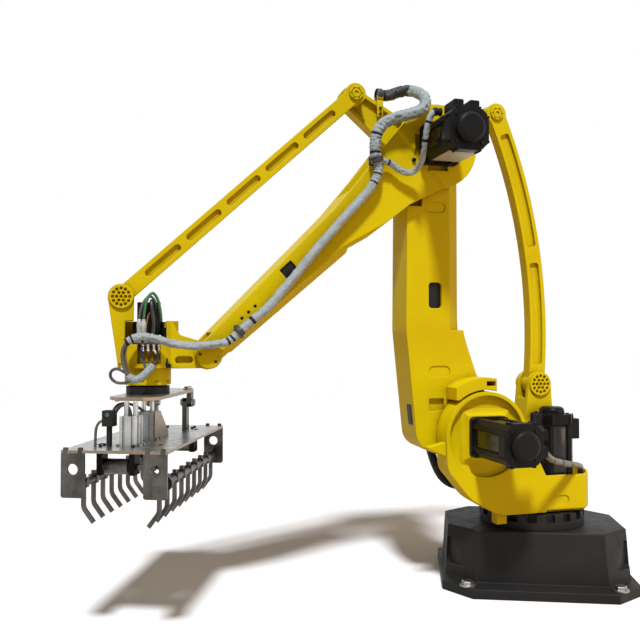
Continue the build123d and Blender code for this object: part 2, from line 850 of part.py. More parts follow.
def upper_link():
    across = 90 - upper_arm_drop
    shape = polygon(
        move(top_high, across, top_link_width / 2),
        move(top_low, across, top_link_width / 2),
        move(top_low, across, -top_link_width / 2),
        move(top_high, across, -top_link_width / 2),
    )
    shape += disc(top_high, top_boss_r) + disc(top_low, top_boss_r)
    body = slab(shape, top_link_far_y, top_link_near_y)
    run = upper_arm_length / (top_slot_count + 1)
    for index in range(top_slot_count):
        at = move(top_high, -upper_arm_drop, run * (index + 1))
        slot = Pos(*at) * Rot(0, 0, -upper_arm_drop) * SlotOverall(run * top_slot_share, top_slot_width)
        body -= slab(slot, top_link_near_y - link_pocket_depth, top_link_near_y + overrun)
        body -= slab(slot, top_link_far_y - overrun, top_link_far_y + link_pocket_depth)
    for p in (top_high, top_low):
        body -= pin(p, link_pin_r + pin_play, top_link_far_y - overrun, top_link_near_y + overrun)
    return body


def round_post(r, z_low, z_high):
    return Pos(tool_x, 0, wrist[1] + z_low) * Cylinder(r, z_high - z_low, align=on_floor)


def wrist_arm():
    shape = outline(
        [
            from_wrist(0, wrist_tongue_r),
            from_wrist(gusset_low_ahead, gusset_low_rise),
            from_wrist(tool_axis_ahead - gusset_knee_back, gusset_knee_rise),
            from_wrist(tool_axis_ahead - gusset_top_back, cup_top),
            from_wrist(tool_axis_ahead, cup_top),
            from_wrist(tool_axis_ahead, -wrist_tongue_r),
            from_wrist(0, -wrist_tongue_r),
        ],
        [edge_break, wrist_tongue_r, wrist_tongue_r / 2] + [edge_break] * 4,
    )
    body = slab(shape + disc(wrist, wrist_tongue_r), -wrist_tongue_half, wrist_tongue_half)
    slot = SlotOverall(wrist_slot_length, wrist_slot_width)
    slot = Pos(*from_wrist(wrist_slot_ahead, -wrist_slot_drop)) * slot
    return body - slab(slot, wrist_tongue_half - hub_pocket_depth, wrist_tongue_half + overrun)


def wrist_cup():
    floor_z = hub_top - cup_floor
    body = wrist_arm() + round_post(cup_r, floor_z, cup_top)
    body -= round_post(cup_r - cup_wall, hub_top, cup_top + overrun)
    cut_x = tool_x - math.sqrt((cup_r - cup_wall) ** 2 - wrist_tongue_half ** 2)
    cut = Box(2 * cup_r, cup_r, cup_r, align=(Align.MIN, Align.MIN, Align.MIN))
    body -= Pos(cut_x, wrist_ear + top_link_near_y, wrist[1] + cup_near_top) * cut
    window = RectangleRounded(cup_window_width, cup_window_height, edge_break)
    window_z = (hub_top + cup_near_top) / 2
    window = Pos(*from_wrist(cup_window_ahead, window_z)) * window
    return body - slab(window, 0, cup_r + overrun)


def wrist_casting():
    near = top_link_near_y + side_gap + wrist_ear
    far = top_link_far_y - side_gap - wrist_ear
    strut = polygon(
        from_wrist(wrist_strut_rear, hub_top),
        from_wrist(wrist_strut_front, hub_top),
        shift(top_low, wrist_ear_r, 0),
        shift(top_low, -wrist_ear_r, 0),
    )
    strut = slab(strut + disc(top_low, wrist_ear_r), far, near)
    strut -= round_post(cup_r - cup_wall, hub_bottom, cup_top)
    body = wrist_cup() + round_post(wrist_hub_r, hub_bottom, hub_top) + strut
    slot = Box(4 * wrist_ear_r, top_link_near_y - top_link_far_y + 2 * side_gap, 4 * wrist_ear_r)
    slot_z = top_low[1] + wrist_ear_r - side_gap
    body -= Pos(top_low[0], (top_link_near_y + top_link_far_y) / 2, slot_z) * slot
    body += pin(top_low, link_pin_r, far, near)
    body += pin(wrist, wrist_pin_r, -tip_half_width, tip_half_width)
    notch = Box(2 * wrist_notch_depth, wrist_notch_width, wrist_notch_height, align=on_floor)
    notch_z = wrist[1] + hub_bottom + wrist_notch_rise
    for spot in PolarLocations(wrist_hub_r, wrist_notch_count):
        body -= Pos(tool_x, 0, notch_z) * spot * notch
    bore_top = hub_bottom + tool_spindle_length
    return body - round_post(tool_spindle_r + pin_play, hub_bottom - overrun, bore_top)


def wrist_cap():
    return pin_cap(top_low, wrist_ear_r - edge_break, top_link_near_y + side_gap + wrist_ear)


def wrist_motor():
    place = Plane(origin=(tool_x, 0, wrist[1] + hub_top), x_dir=(0, 1, 0), z_dir=(0, 0, 1))
    near = wrist_motor_size / 2
    plug_box_width = near - top_link_near_y - side_gap
    hung = (Align.CENTER, Align.MAX, Align.MAX)
    plug_box = Box(plug_box_length, plug_box_width, plug_box_height, align=hung)
    plug_box = chamfer(plug_box.edges().filter_by(Axis.Z), edge_break)
    body = place * motor(wrist_motor_size, wrist_motor_length)
    return body + Pos(tool_x, near, wrist[1] + plug_box_top) * plug_box


def air_fittings():
    rim_y = math.sqrt(cup_r ** 2 - (fitting_length / 2) ** 2)
    low = wrist[1] + cup_near_top
    plate = Box(fitting_length, fitting_depth, fitting_plate, align=(Align.CENTER, Align.MAX, Align.MIN))
    body = Pos(tool_x, rim_y, low) * plate
    fitting = Cylinder(fitting_r, fitting_height, align=on_floor)
    first = -(fitting_count - 1) * fitting_pitch / 2
    for index in range(fitting_count):
        x = tool_x + first + index * fitting_pitch
        body += Pos(x, rim_y - fitting_depth / 2, low + fitting_plate) * fitting
    return body


def spindle(shape):
    return Pos(tool_x, 0, 0) * Rot(0, 0, tool_yaw) * shape


def tool(shape):
    return spindle(Pos(frame_shift_x, frame_shift_y, 0) * shape)


def tool_flange():
    top = wrist_face_lift + tool_spindle_length - pin_play
    ring = Cylinder(tool_flange_r, tool_flange_height, align=on_floor)
    shaft = Cylinder(tool_spindle_r, top, align=on_floor)
    return spindle(Pos(0, 0, tool_z) * (ring + shaft))


def adapter_plate():
    plan = Rectangle(2 * adapter_half_width, adapter_near + adapter_far)
    plan = chamfer(plan.vertices(), adapter_corner)
    middle = (adapter_near - adapter_far) / 2
    return tool(Pos(0, middle, tool_z - adapter_thick) * extrude(plan, adapter_thick))


def leg_tab_places(side, end):
    x = side * (frame_width - leg_width) / 2
    y = end * (frame_length - leg_thick) / 2
    return [(x - leg_tab_pitch / 2, y), (x + leg_tab_pitch / 2, y)]


def frame_plate():
    plan = Rectangle(frame_width, frame_length)
    slot = Rot(0, 0, 90) * SlotOverall(frame_slot_length, frame_slot_width)
    tab = Rectangle(leg_tab_width + 2 * pin_play, leg_thick + 2 * pin_play)
    for side in (-1, 1):
        for end in (-1, 1):
            plan -= Pos(side * frame_slot_x, end * (cylinder_y - frame_slot_length)) * slot
            for x, y in leg_tab_places(side, end):
                plan -= Pos(x, y) * tab
    return tool(Pos(0, 0, frame_under) * extrude(plan, frame_thick))


def grooved_profile():
    face = Rectangle(post_side, post_side)
    groove = Rectangle(post_groove, 2 * post_groove_depth)
    for turn in range(4):
        for along in (-post_side / 4, post_side / 4):
            face -= Rot(0, 0, turn * 90) * Pos(along, post_side / 2) * groove
    return face


def post(y):
    block = Pos(0, 0, frame_top) * extrude(grooved_profile(), post_height)
    neck_height = tool_z - adapter_thick - frame_top - post_height
    neck = Cylinder(neck_r, neck_height, align=on_floor)
    for along in (-neck_pitch / 2, neck_pitch / 2):
        block += Pos(along, 0, frame_top + post_height) * neck
    return tool(Pos(post_x, y, 0) * block)


def near_post():
    return post(frame_length / 2 - post_near_inset)


def middle_post():
    return post(post_mid_y)


def post_gusset():
    x = post_x - post_side / 2 - gusset_thick
    top = post_mid_y + post_side / 2
    low = post_mid_y - post_side / 2 - gusset_length
    side = Plane.YZ.offset(x)
    shape = polygon(
        (top, frame_top),
        (low, frame_top),
        (low, frame_top + gusset_toe),
        (post_mid_y - post_side / 2, frame_top + post_height),
        (top, frame_top + post_height),
    )
    return tool(extrude(side * shape, gusset_thick))


def air_valve():
    pipe = Cylinder(valve_pipe_r, valve_pipe_height, align=on_floor)
    block = Box(valve_side, valve_side, valve_height, align=on_floor)
    block = chamfer(block.edges().filter_by(Axis.Z), edge_break)
    return tool(Pos(valve_x, valve_y, frame_top) * (pipe + Pos(0, 0, valve_pipe_height) * block))


def strap(side):
    pin_z = tool_z - adapter_thick - strap_pin_drop
    y = -adapter_far + adapter_corner + strap_width / 2
    edge = side * adapter_half_width
    hanger_x = edge - side * strap_thick / 2
    plate_x = edge - side * (strap_thick + strap_thick / 2)
    head = Plane.YZ * (Pos(y, pin_z) * Circle(strap_width / 2))
    hanger_height = strap_pin_drop
    hanger = extrude(head, strap_thick / 2, both=True)
    hanger += Pos(0, y, pin_z) * Box(strap_thick, strap_width, hanger_height, align=on_floor)
    plate = extrude(head, strap_thick / 2, both=True)
    plate += Pos(0, y, frame_top) * Box(strap_thick, strap_width, pin_z - frame_top, align=on_floor)
    bolt_length = 2 * strap_thick + 2 * edge_break
    bolt = Pos((hanger_x + plate_x) / 2, y, pin_z) * Rot(0, 90, 0) * Cylinder(strap_pin_r, bolt_length)
    return tool(Pos(hanger_x, 0, 0) * hanger + Pos(plate_x, 0, 0) * plate + bolt)


def left_strap():
    return strap(1)


def right_strap():
    return strap(-1)


def leg(side, end):
    x = side * (frame_width - leg_width) / 2
    y = end * (frame_length - leg_thick) / 2
    plate = Pos(x, frame_under - leg_height / 2) * Rectangle(leg_width, leg_height)
    plate = fillet(plate.vertices().group_by(Axis.Y)[0], leg_corner)
    plate -= disc((x, frame_under - leg_hole_drop), leg_hole_r)
    plate -= disc((side * claw_spread, claw_z), claw_shaft_r + pin_play)
    body = slab(plate, y - leg_thick / 2, y + leg_thick / 2)
    tab = Box(leg_tab_width, leg_thick, frame_thick + leg_tab_rise, align=on_floor)
    for tab_x, tab_y in leg_tab_places(side, end):
        body += Pos(tab_x, tab_y, frame_under) * tab
    return tool(body)


def claw(side, tines):
    x = side * claw_spread
    body = Pos(x, 0, claw_z) * Rot(90, 0, 0) * Cylinder(claw_shaft_r, frame_length)
    path = FilletPolyline(
        (x, claw_z + tine_head),
        (x, claw_z - tine_drop),
        (x - side * tine_hook, claw_z - tine_reach),
        radius=tine_hook,
    )
    profile = trace(path, tine_width)
    block = Pos(x, claw_z) * RectangleRounded(tine_block, tine_block, edge_break)
    first = -(tines - 1) * claw_pitch / 2
    for index in range(tines):
        y = first + index * claw_pitch
        body += slab(profile, y - tine_thick / 2, y + tine_thick / 2)
        body += slab(block, y - tine_thick, y + tine_thick)
    lever_y = -side * cylinder_y
    lean = 90 + side * lever_lean
    tip = move((x, claw_z), lean, lever_tip)
    lever = taper((x, claw_z), lever_foot_r, tip, lever_width / 2)
    slot_from = move((x, claw_z), lean, lever_pin_height - edge_break)
    slot_to = move((x, claw_z), lean, lever_pin_height / math.cos(math.radians(lever_lean)) + edge_break)
    slot_r = rod_pin_r + edge_break
    lever -= taper(slot_from, slot_r, slot_to, slot_r)
    body += slab(lever, lever_y - lever_thick / 2, lever_y + lever_thick / 2)
    return tool(body)


def left_claw():
    return claw(1, left_tines)


def right_claw():
    return claw(-1, right_tines)


def air_cylinder(side):
    y = -side * cylinder_y
    length = cylinder_tail + cylinder_nose
    middle = side * (cylinder_nose - cylinder_tail) / 2
    body = Pos(middle, y, lever_pin_z) * Rot(0, 90, 0) * Cylinder(cylinder_r, length)
    block_height = frame_under - lever_pin_z + cylinder_block / 2
    block = Box(cylinder_end, cylinder_block, block_height, align=on_floor)
    block = Pos(0, y, frame_under - block_height) * block
    nose = side * (cylinder_nose - cylinder_end / 2)
    tail = -side * (cylinder_tail - cylinder_end / 2)
    body += Pos(nose, 0, 0) * block + Pos(tail, 0, 0) * block
    bore_length = length - cylinder_end
    bore = Rot(0, 90, 0) * Cylinder(rod_r + pin_play, bore_length)
    body -= Pos(side * (cylinder_nose - bore_length / 2 + overrun), y, lever_pin_z) * bore
    return tool(body)


def left_cylinder():
    return air_cylinder(1)


def right_cylinder():
    return air_cylinder(-1)


def rod(side):
    y = -side * cylinder_y
    pin_x = side * (claw_spread - lever_swing)
    inner = -side * (cylinder_tail - 2 * cylinder_end)
    fork_back = pin_x - side * rod_fork_depth
    across = Rot(0, 90, 0) * Cylinder(rod_r, abs(fork_back - inner))
    body = Pos((inner + fork_back) / 2, y, lever_pin_z) * across
    span = lever_thick + 2 * rod_cheek + 2 * pin_play + 2 * edge_break
    body += Pos(fork_back, y, lever_pin_z) * Box(rod_cheek, span, 2 * rod_r)
    cheek = Box(rod_fork_depth + rod_cheek, rod_cheek, 2 * rod_r)
    for turn in (-1, 1):
        cheek_y = y + turn * (span - rod_cheek) / 2
        body += Pos(pin_x - side * (rod_fork_depth - rod_cheek) / 2, cheek_y, lever_pin_z) * cheek
    body += Pos(pin_x, y, lever_pin_z) * Rot(90, 0, 0) * Cylinder(rod_pin_r, span)
    return tool(body)


def left_rod():
    return rod(1)


def right_rod():
    return rod(-1)


def bend_radii(points):
    radii = []
    for before, at, after in zip(points, points[1:], points[2:]):
        arrive = Vector(*at) - Vector(*before)
        leave = Vector(*after) - Vector(*at)
        half_turn = math.radians(arrive.get_angle(leave)) / 2
        radii.append(hose_run_share * min(arrive.length, leave.length) / math.tan(half_turn))
    return radii


def hose(route, origin, r):
    points = [(origin[0] + x, y, origin[1] + z) for x, y, z in route]
    radii = bend_radii(points)
    path = FilletPolyline(*points, radius=radii)
    print("smallest bend", round(min(radii)), "of a hose with radius", r)
    return sweep(Plane(origin=path @ 0, z_dir=path % 0) * Circle(r), path=path)


def elbow_hose():
    return hose(elbow_hose_route, elbow, elbow_hose_r)


def motor_lead():
    return hose(motor_lead_route, elbow, motor_lead_r)


def arm_hose():
    return hose(arm_hose_route, elbow, arm_hose_r)


def wrist_hose():
    return hose(wrist_hose_route, wrist, wrist_hose_r)


def tub_conduit():
    return hose(conduit_route, (0, 0), conduit_r)


def motor_cable():
    return hose(motor_cable_route, (0, 0), cable_r)


def hose_bracket():
    x = elbow[0] + bracket_back
    z = elbow[1] + bracket_rise
    collar_width = bracket_near_y - bracket_far_y
    collar = Box(bracket_length, collar_width, bracket_height, align=(Align.MIN, Align.MAX, Align.CENTER))
    foot_width = bracket_near_y - elbow_hub_near_y
    foot = Box(bracket_length, foot_width, bracket_foot, align=(Align.MIN, Align.MAX, Align.MAX))
    return Pos(x, bracket_near_y, z) * (collar + foot)


def hose_tie():
    block = Box(tie_length, tie_reach, tie_height, align=(Align.CENTER, Align.MIN, Align.CENTER))
    block = chamfer(block.edges().filter_by(Axis.Y), edge_break)
    return Pos(elbow[0] + tie_ahead, arm_face_y, elbow[1] - tie_drop) * block


def tip_clamp():
    at = arm_point(clamp_s, clamp_n)
    block = Box(clamp_length, clamp_reach, clamp_height, align=(Align.CENTER, Align.MIN, Align.CENTER))
    return Pos(at[0], arm_face_y, at[1]) * Rot(0, upper_arm_drop, 0) * block


makers = [
    base_casting, slew_ring, turntable_casting, shoulder_motor, slew_motor, link_tower, tower_cap,
    tub_conduit, motor_cable, lower_arm_casting, rear_link, elbow_link, hose_bracket, elbow_hose,
    upper_arm_casting, elbow_motor, motor_lead, hose_tie, arm_hose, tip_clamp, upper_link,
    wrist_casting, wrist_cap, wrist_motor, wrist_hose, air_fittings, tool_flange, adapter_plate,
    frame_plate, near_post, middle_post, post_gusset, air_valve, left_strap, right_strap, left_claw,
    right_claw, left_cylinder, right_cylinder, left_rod, right_rod,
]

os.makedirs("parts", exist_ok=True)
for maker in makers:
    export_step(maker(), "parts/" + maker.__name__ + ".step")
for side, side_name in ((1, "left"), (-1, "right")):
    for end, end_name in ((1, "near"), (-1, "far")):
        export_step(leg(side, end), "parts/" + end_name + "_" + side_name + "_leg.step")
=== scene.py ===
# Palletizing robot with a bag gripper: finishes, hoses, screws and small fittings
import json
import math

import bmesh
import bpy
from mathutils import Matrix, Vector, noise


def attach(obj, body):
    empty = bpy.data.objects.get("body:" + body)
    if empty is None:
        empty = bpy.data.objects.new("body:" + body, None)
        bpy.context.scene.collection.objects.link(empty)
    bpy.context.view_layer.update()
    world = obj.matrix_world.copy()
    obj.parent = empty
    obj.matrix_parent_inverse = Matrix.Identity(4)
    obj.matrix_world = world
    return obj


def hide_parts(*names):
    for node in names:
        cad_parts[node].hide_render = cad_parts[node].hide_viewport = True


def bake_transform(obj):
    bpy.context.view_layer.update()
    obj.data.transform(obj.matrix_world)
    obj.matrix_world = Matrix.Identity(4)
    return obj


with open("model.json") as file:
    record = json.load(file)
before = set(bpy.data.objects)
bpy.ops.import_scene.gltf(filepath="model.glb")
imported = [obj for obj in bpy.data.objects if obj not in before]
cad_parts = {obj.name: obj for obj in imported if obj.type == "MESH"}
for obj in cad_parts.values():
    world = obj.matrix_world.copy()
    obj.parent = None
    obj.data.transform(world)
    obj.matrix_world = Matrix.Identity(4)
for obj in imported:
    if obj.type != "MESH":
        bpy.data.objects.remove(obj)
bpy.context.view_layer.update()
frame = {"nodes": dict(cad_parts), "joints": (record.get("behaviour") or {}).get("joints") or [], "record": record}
joints = {j["name"]: j for j in frame["joints"]}


def pivot(name):
    return Vector(joints[name]["pos_m"])


shoulder, elbow, wrist = pivot("shoulder"), pivot("elbow"), pivot("wrist_level")
floorMiddle = Vector()
armDrop = math.radians(42.5)  # slope of the upper arm at rest
armAlong = Vector((math.cos(armDrop), 0, -math.sin(armDrop)))
armUp = Vector((math.sin(armDrop), 0, math.cos(armDrop)))
left, up, ahead = Vector((0, 1, 0)), Vector((0, 0, 1)), Vector((1, 0, 0))
# the gripper's own axes: its width runs along gripX, its claw shafts along gripY
gripYaw = math.radians(-22)
gripX = Vector((math.cos(gripYaw), math.sin(gripYaw), 0))
gripY = Vector((-math.sin(gripYaw), math.cos(gripYaw), 0))
toolX = pivot("tool_turn").x * 1000
smoothAngle = 0.6  # sharper edges stay sharp


def near(origin, x, y, z):  # millimetres from an axis
    return origin + Vector((x, y, z)) / 1000


def armPoint(s, n, y):  # millimetres along the upper arm, above its middle line, and out to the left
    return elbow + (armAlong * s + armUp * n + left * y) / 1000


def gripPoint(x, y, z):  # millimetres in the gripper from its turning axis, and above the floor
    return (ahead * toolX + gripX * x + gripY * y + up * z) / 1000


def dropSelection():
    for obj in bpy.context.selected_objects:
        obj.select_set(False)


def take(obj):
    dropSelection()
    obj.select_set(True)
    bpy.context.view_layer.objects.active = obj


def pickFaces(obj, test):  # in edit mode
    mesh = bmesh.from_edit_mesh(obj.data)
    for face in mesh.faces:
        face.select_set(False)
    for face in mesh.faces:
        if test(face):
            face.select_set(True)
    bmesh.update_edit_mesh(obj.data)


def editing(obj):
    take(obj)
    bpy.ops.object.mode_set(mode="EDIT")
    bpy.ops.mesh.select_mode(type="FACE")


def doneEditing(obj, angle=smoothAngle):
    bpy.ops.object.mode_set(mode="OBJECT")
    take(obj)
    bpy.ops.object.shade_smooth_by_angle(angle=angle)
    return obj


def softenEdges(obj, width, segments=2, angle=0.7):
    take(obj)
    bevel = obj.modifiers.new("soft edges", "BEVEL")
    bevel.width = width
    bevel.segments = segments
    bevel.limit_method = "ANGLE"
    bevel.angle_limit = angle
    bpy.ops.object.modifier_apply(modifier=bevel.name)
    bpy.ops.object.shade_smooth_by_angle(angle=smoothAngle)
    return obj


def placed(name, data):
    obj = bpy.data.objects.new(name, data)
    bpy.context.collection.objects.link(obj)
    return obj


def named(obj, name):
    obj.name = name
    return obj


def settle(obj, place=Matrix.Identity(4)):  # puts a piece's place into its mesh
    bpy.context.view_layer.update()
    obj.data.transform(place @ obj.matrix_world)
    obj.matrix_world = Matrix.Identity(4)
    return obj


def standing(point, direction, roll=0.0):  # Z along the direction
    turn = Vector(direction).to_track_quat("Z", "Y").to_matrix().to_4x4()
    return Matrix.Translation(point) @ turn @ Matrix.Rotation(roll, 4, "Z")


def axesAt(point, xDir, zDir):
    xDir, zDir = Vector(xDir).normalized(), Vector(zDir).normalized()
    turn = Matrix((xDir, zDir.cross(xDir), zDir)).transposed().to_4x4()
    return Matrix.Translation(point) @ turn


def joined(pieces, name):
    dropSelection()
    for piece in pieces:
        piece.select_set(True)
    bpy.context.view_layer.objects.active = pieces[0]
    if len(pieces) > 1:
        bpy.ops.object.join()
    return named(pieces[0], name)


def copiesOf(master, places, name):
    twins = []
    for place in places:
        twin = master.copy()
        twin.data = master.data.copy()
        bpy.context.collection.objects.link(twin)
        twin.data.transform(place)
        twins.append(twin)
    return joined(twins, name)


def paint(obj, lookName):
    obj.data.materials.clear()
    obj.data.materials.append(looks[lookName])


def wear(obj, lookName, body):
    paint(obj, lookName)
    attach(obj, body)


def box(size):
    dropSelection()
    bpy.ops.mesh.primitive_cube_add(size=1, location=(0, 0, 0))
    bar = bpy.context.object
    bar.scale = size
    return settle(bar)


def block(size, at=(0, 0, 0), edge=0.0012):  # a bar or plate with broken edges
    return settle(softenEdges(box(size), edge), Matrix.Translation(at))


def ringBand(radius, width, thick, sides=36):  # an open band round the Z axis
    dropSelection()
    bpy.ops.mesh.primitive_cylinder_add(vertices=sides, radius=radius, depth=width, end_fill_type="NOTHING")
    band = bpy.context.object
    wall = band.modifiers.new("wall", "SOLIDIFY")
    wall.thickness = thick
    wall.offset = 1
    take(band)
    bpy.ops.object.modifier_apply(modifier=wall.name)
    return softenEdges(band, min(thick, width) * 0.25)


def extrudeUp(rise):
    bpy.ops.mesh.extrude_region_move(TRANSFORM_OT_translate={"value": (0, 0, rise)})


def insetFace(width, rise=0.0):
    bpy.ops.mesh.inset(thickness=width)
    bpy.ops.transform.translate(value=(0, 0, rise))


def turned(profile, sides):  # a turned piece: steps of radius and height in mm, up the Z axis
    dropSelection()
    radius, start = profile[0][0] / 1000, (0, 0, profile[0][1] / 1000)
    bpy.ops.mesh.primitive_circle_add(vertices=sides, radius=radius, fill_type="NGON", location=start)
    piece = bpy.context.object
    editing(piece)
    bpy.ops.mesh.select_all(action="SELECT")
    for (r0, z0), (r1, z1) in zip(profile, profile[1:]):
        extrudeUp((z1 - z0) / 1000)
        share = r1 / r0
        bpy.ops.transform.resize(value=(share, share, 1), center_override=(0, 0, z1 / 1000))
    bpy.ops.mesh.select_all(action="SELECT")
    bpy.ops.mesh.normals_make_consistent(inside=False)
    return settle(doneEditing(piece))


# finishes
def newLook(name):
    look = bpy.data.materials.new(name)
    look.use_nodes = True
    tree = look.node_tree
    return look, tree, tree.nodes["Principled BSDF"]


def setSockets(node, values):
    for key, value in values.items():
        node.inputs[key].default_value = value
    return node


def put(tree, kind, values=None):
    return setSockets(tree.nodes.new(kind), values or {})


def link(tree, source, node, key):
    if isinstance(source, bpy.types.NodeSocket):
        tree.links.new(source, node.inputs[key])
    else:
        node.inputs[key].default_value = source


def objectPlace(tree, stretch=(1, 1, 1), turn=0.0):
    place = put(tree, "ShaderNodeTexCoord").outputs["Object"]
    mapping = put(tree, "ShaderNodeMapping", {"Scale": stretch, "Rotation": (0, 0, turn)})
    link(tree, place, mapping, "Vector")
    return mapping.outputs["Vector"]


def mottled(tree, place, scale, detail=3.0, roughness=0.55):
    cloud = put(tree, "ShaderNodeTexNoise", {"Scale": scale, "Detail": detail, "Roughness": roughness})
    link(tree, place, cloud, "Vector")
    return cloud.outputs["Fac"]


def ranged(tree, value, low, high, start=0.0, end=1.0):
    limits = {"From Min": low, "From Max": high, "To Min": start, "To Max": end}
    node = put(tree, "ShaderNodeMapRange", limits)
    link(tree, value, node, "Value")
    return node.outputs["Result"]


def maths(tree, kind, a, b):
    node = put(tree, "ShaderNodeMath")
    node.operation = kind
    link(tree, a, node, 0)
    link(tree, b, node, 1)
    return node.outputs[0]


def blended(tree, share, a, b):
    node = put(tree, "ShaderNodeMix")
    node.data_type = "RGBA"
    link(tree, share, node, 0)
    link(tree, a, node, 6)
    link(tree, b, node, 7)
    return node.outputs[2]


def roundedEdges(tree, radius):  # softened normal and a mask of the outer edges
    soft = put(tree, "ShaderNodeBevel", {"Radius": radius})
    soft.samples = 6
    flat = put(tree, "ShaderNodeNewGeometry").outputs["True Normal"]
    dot = put(tree, "ShaderNodeVectorMath")
    dot.operation = "DOT_PRODUCT"
    link(tree, soft.outputs["Normal"], dot, 0)
    link(tree, flat, dot, 1)
    return soft.outputs["Normal"], ranged(tree, dot.outputs["Value"], 0.72, 0.97, 1, 0)


# how hidden a spot is in hollows and creases, from ambient occlusion: the mask for painted shade
def creviceShade(tree, distance):
    corner = put(tree, "ShaderNodeAmbientOcclusion", {"Distance": distance})
    corner.samples = 6
    return ranged(tree, corner.outputs["AO"], 0.3, 0.85, 1, 0)


def bumped(tree, height, strength, distance, normal=None):
    bump = put(tree, "ShaderNodeBump", {"Strength": strength, "Distance": distance})
    link(tree, height, bump, "Height")
    if normal is not None:
        link(tree, normal, bump, "Normal")
    return bump.outputs["Normal"]


def fitShader(tree, shader, tone, rough, normal):
    for key, source in (("Base Color", tone), ("Roughness", rough), ("Normal", normal)):
        link(tree, source, shader, key)


def seenRays(tree):  # one for rays that show a surface, nought for rays that only light the object
    path = put(tree, "ShaderNodeLightPath")
    seen = maths(tree, "MAXIMUM", path.outputs["Is Camera Ray"], path.outputs["Is Glossy Ray"])
    return maths(tree, "MAXIMUM", seen, path.outputs["Is Transmission Ray"])


paintFinishes = {
    "castYellow": {
        "colour": (0.66, 0.545, 0.0006, 1), "faded": (0.60, 0.45, 0.0006, 1), "worn": (0.74, 0.62, 0.02, 1),
        # the yellow's grime colour is painted shade: it turns the yellow's crevices orange, as the yellow looks in
        # shade
        "grimeAndShade": (0.24, 0.105, 0.0006, 1), "rough": (0.44, 0.62), "gloss": 0.12, "edge": 0.005,
        "wornShare": 0.2, "grimeAndShadeShare": 0.85, "grain": 0.0002,
    },
    "baseGrey": {
        "colour": (0.0105, 0.0105, 0.011, 1), "faded": (0.020, 0.0195, 0.019, 1),
        "worn": (0.075, 0.074, 0.07, 1),
        "grimeAndShade": (0.004, 0.0036, 0.003, 1), "rough": (0.42, 0.64), "gloss": 0.16, "edge": 0.005,
        "wornShare": 0.7, "grimeAndShadeShare": 0.5, "grain": 0.0007,
    },
    "motorBlack": {
        "colour": (0.0050, 0.0050, 0.0055, 1), "faded": (0.010, 0.010, 0.0105, 1),
        "worn": (0.06, 0.06, 0.06, 1),
        "grimeAndShade": (0.003, 0.003, 0.003, 1), "rough": (0.30, 0.46), "gloss": 0.10, "edge": 0.003,
        "wornShare": 0.6, "grimeAndShadeShare": 0.4, "grain": 0.0003,
    },
    "motorPanel": {
        "colour": (0.006, 0.006, 0.0065, 1), "faded": (0.011, 0.011, 0.011, 1), "worn": (0.08, 0.08, 0.08, 1),
        "grimeAndShade": (0.004, 0.004, 0.004, 1), "rough": (0.16, 0.30), "gloss": 0.34, "edge": 0.001,
        "wornShare": 0.5, "grimeAndShadeShare": 0.5, "grain": 0.0002,
    },
    "mouldedBlack": {
        "colour": (0.0075, 0.0075, 0.008, 1), "faded": (0.016, 0.016, 0.016, 1),
        "worn": (0.04, 0.04, 0.04, 1),
        "grimeAndShade": (0.02, 0.018, 0.015, 1), "rough": (0.42, 0.60), "gloss": 0.2, "edge": 0.0015,
        "wornShare": 0.5, "grimeAndShadeShare": 0.3, "grain": 0.0004,
    },
    "paleCover": {
        "colour": (0.43, 0.46, 0.48, 1), "faded": (0.34, 0.36, 0.375, 1), "worn": (0.52, 0.55, 0.57, 1),
        "grimeAndShade": (0.12, 0.10, 0.07, 1), "rough": (0.34, 0.50), "gloss": 0.3, "edge": 0.001,
        "wornShare": 0.4, "grimeAndShadeShare": 0.6, "grain": 0.0003,
    },
    "clampSteel": {
        "colour": (0.030, 0.030, 0.031, 1), "faded": (0.055, 0.054, 0.052, 1), "worn": (0.20, 0.19, 0.18, 1),
        "grimeAndShade": (0.030, 0.018, 0.009, 1), "rough": (0.36, 0.54), "gloss": 0.4, "edge": 0.001,
        "wornShare": 0.7, "grimeAndShadeShare": 0.6, "grain": 0.0003,
    },
}


def paintLook(name):
    s = paintFinishes[name]
    look, tree, shader = newLook(name)
    place = objectPlace(tree)
    broad = mottled(tree, place, 3.1, 5)
    patches = mottled(tree, place, 34, 4)
    fine = mottled(tree, place, 420, 2)
    tone = blended(tree, ranged(tree, broad, 0.36, 0.72), s["colour"], s["faded"])
    normal, edge = roundedEdges(tree, s["edge"])
    rubbed = maths(tree, "MULTIPLY", edge, ranged(tree, patches, 0.46, 0.60, 0, s["wornShare"]))
    tone = blended(tree, rubbed, tone, s["worn"])
    # crevices darkened in patches toward the grime colour: dirt and painted shade, on the yellow a painted orange
    # shade
    grimeAndShadePatches = ranged(tree, patches, 0.25, 0.7, 0.25, s["grimeAndShadeShare"])
    dirtAndShade = maths(tree, "MULTIPLY", creviceShade(tree, 0.05), grimeAndShadePatches)
    tone = blended(tree, dirtAndShade, tone, s["grimeAndShade"])
    rough = ranged(tree, maths(tree, "ADD", patches, broad), 0.7, 1.3, *s["rough"])
    fitShader(tree, shader, tone, rough, bumped(tree, fine, 0.14, s["grain"], normal))
    shader.inputs["Specular IOR Level"].default_value = s["gloss"]
    return look


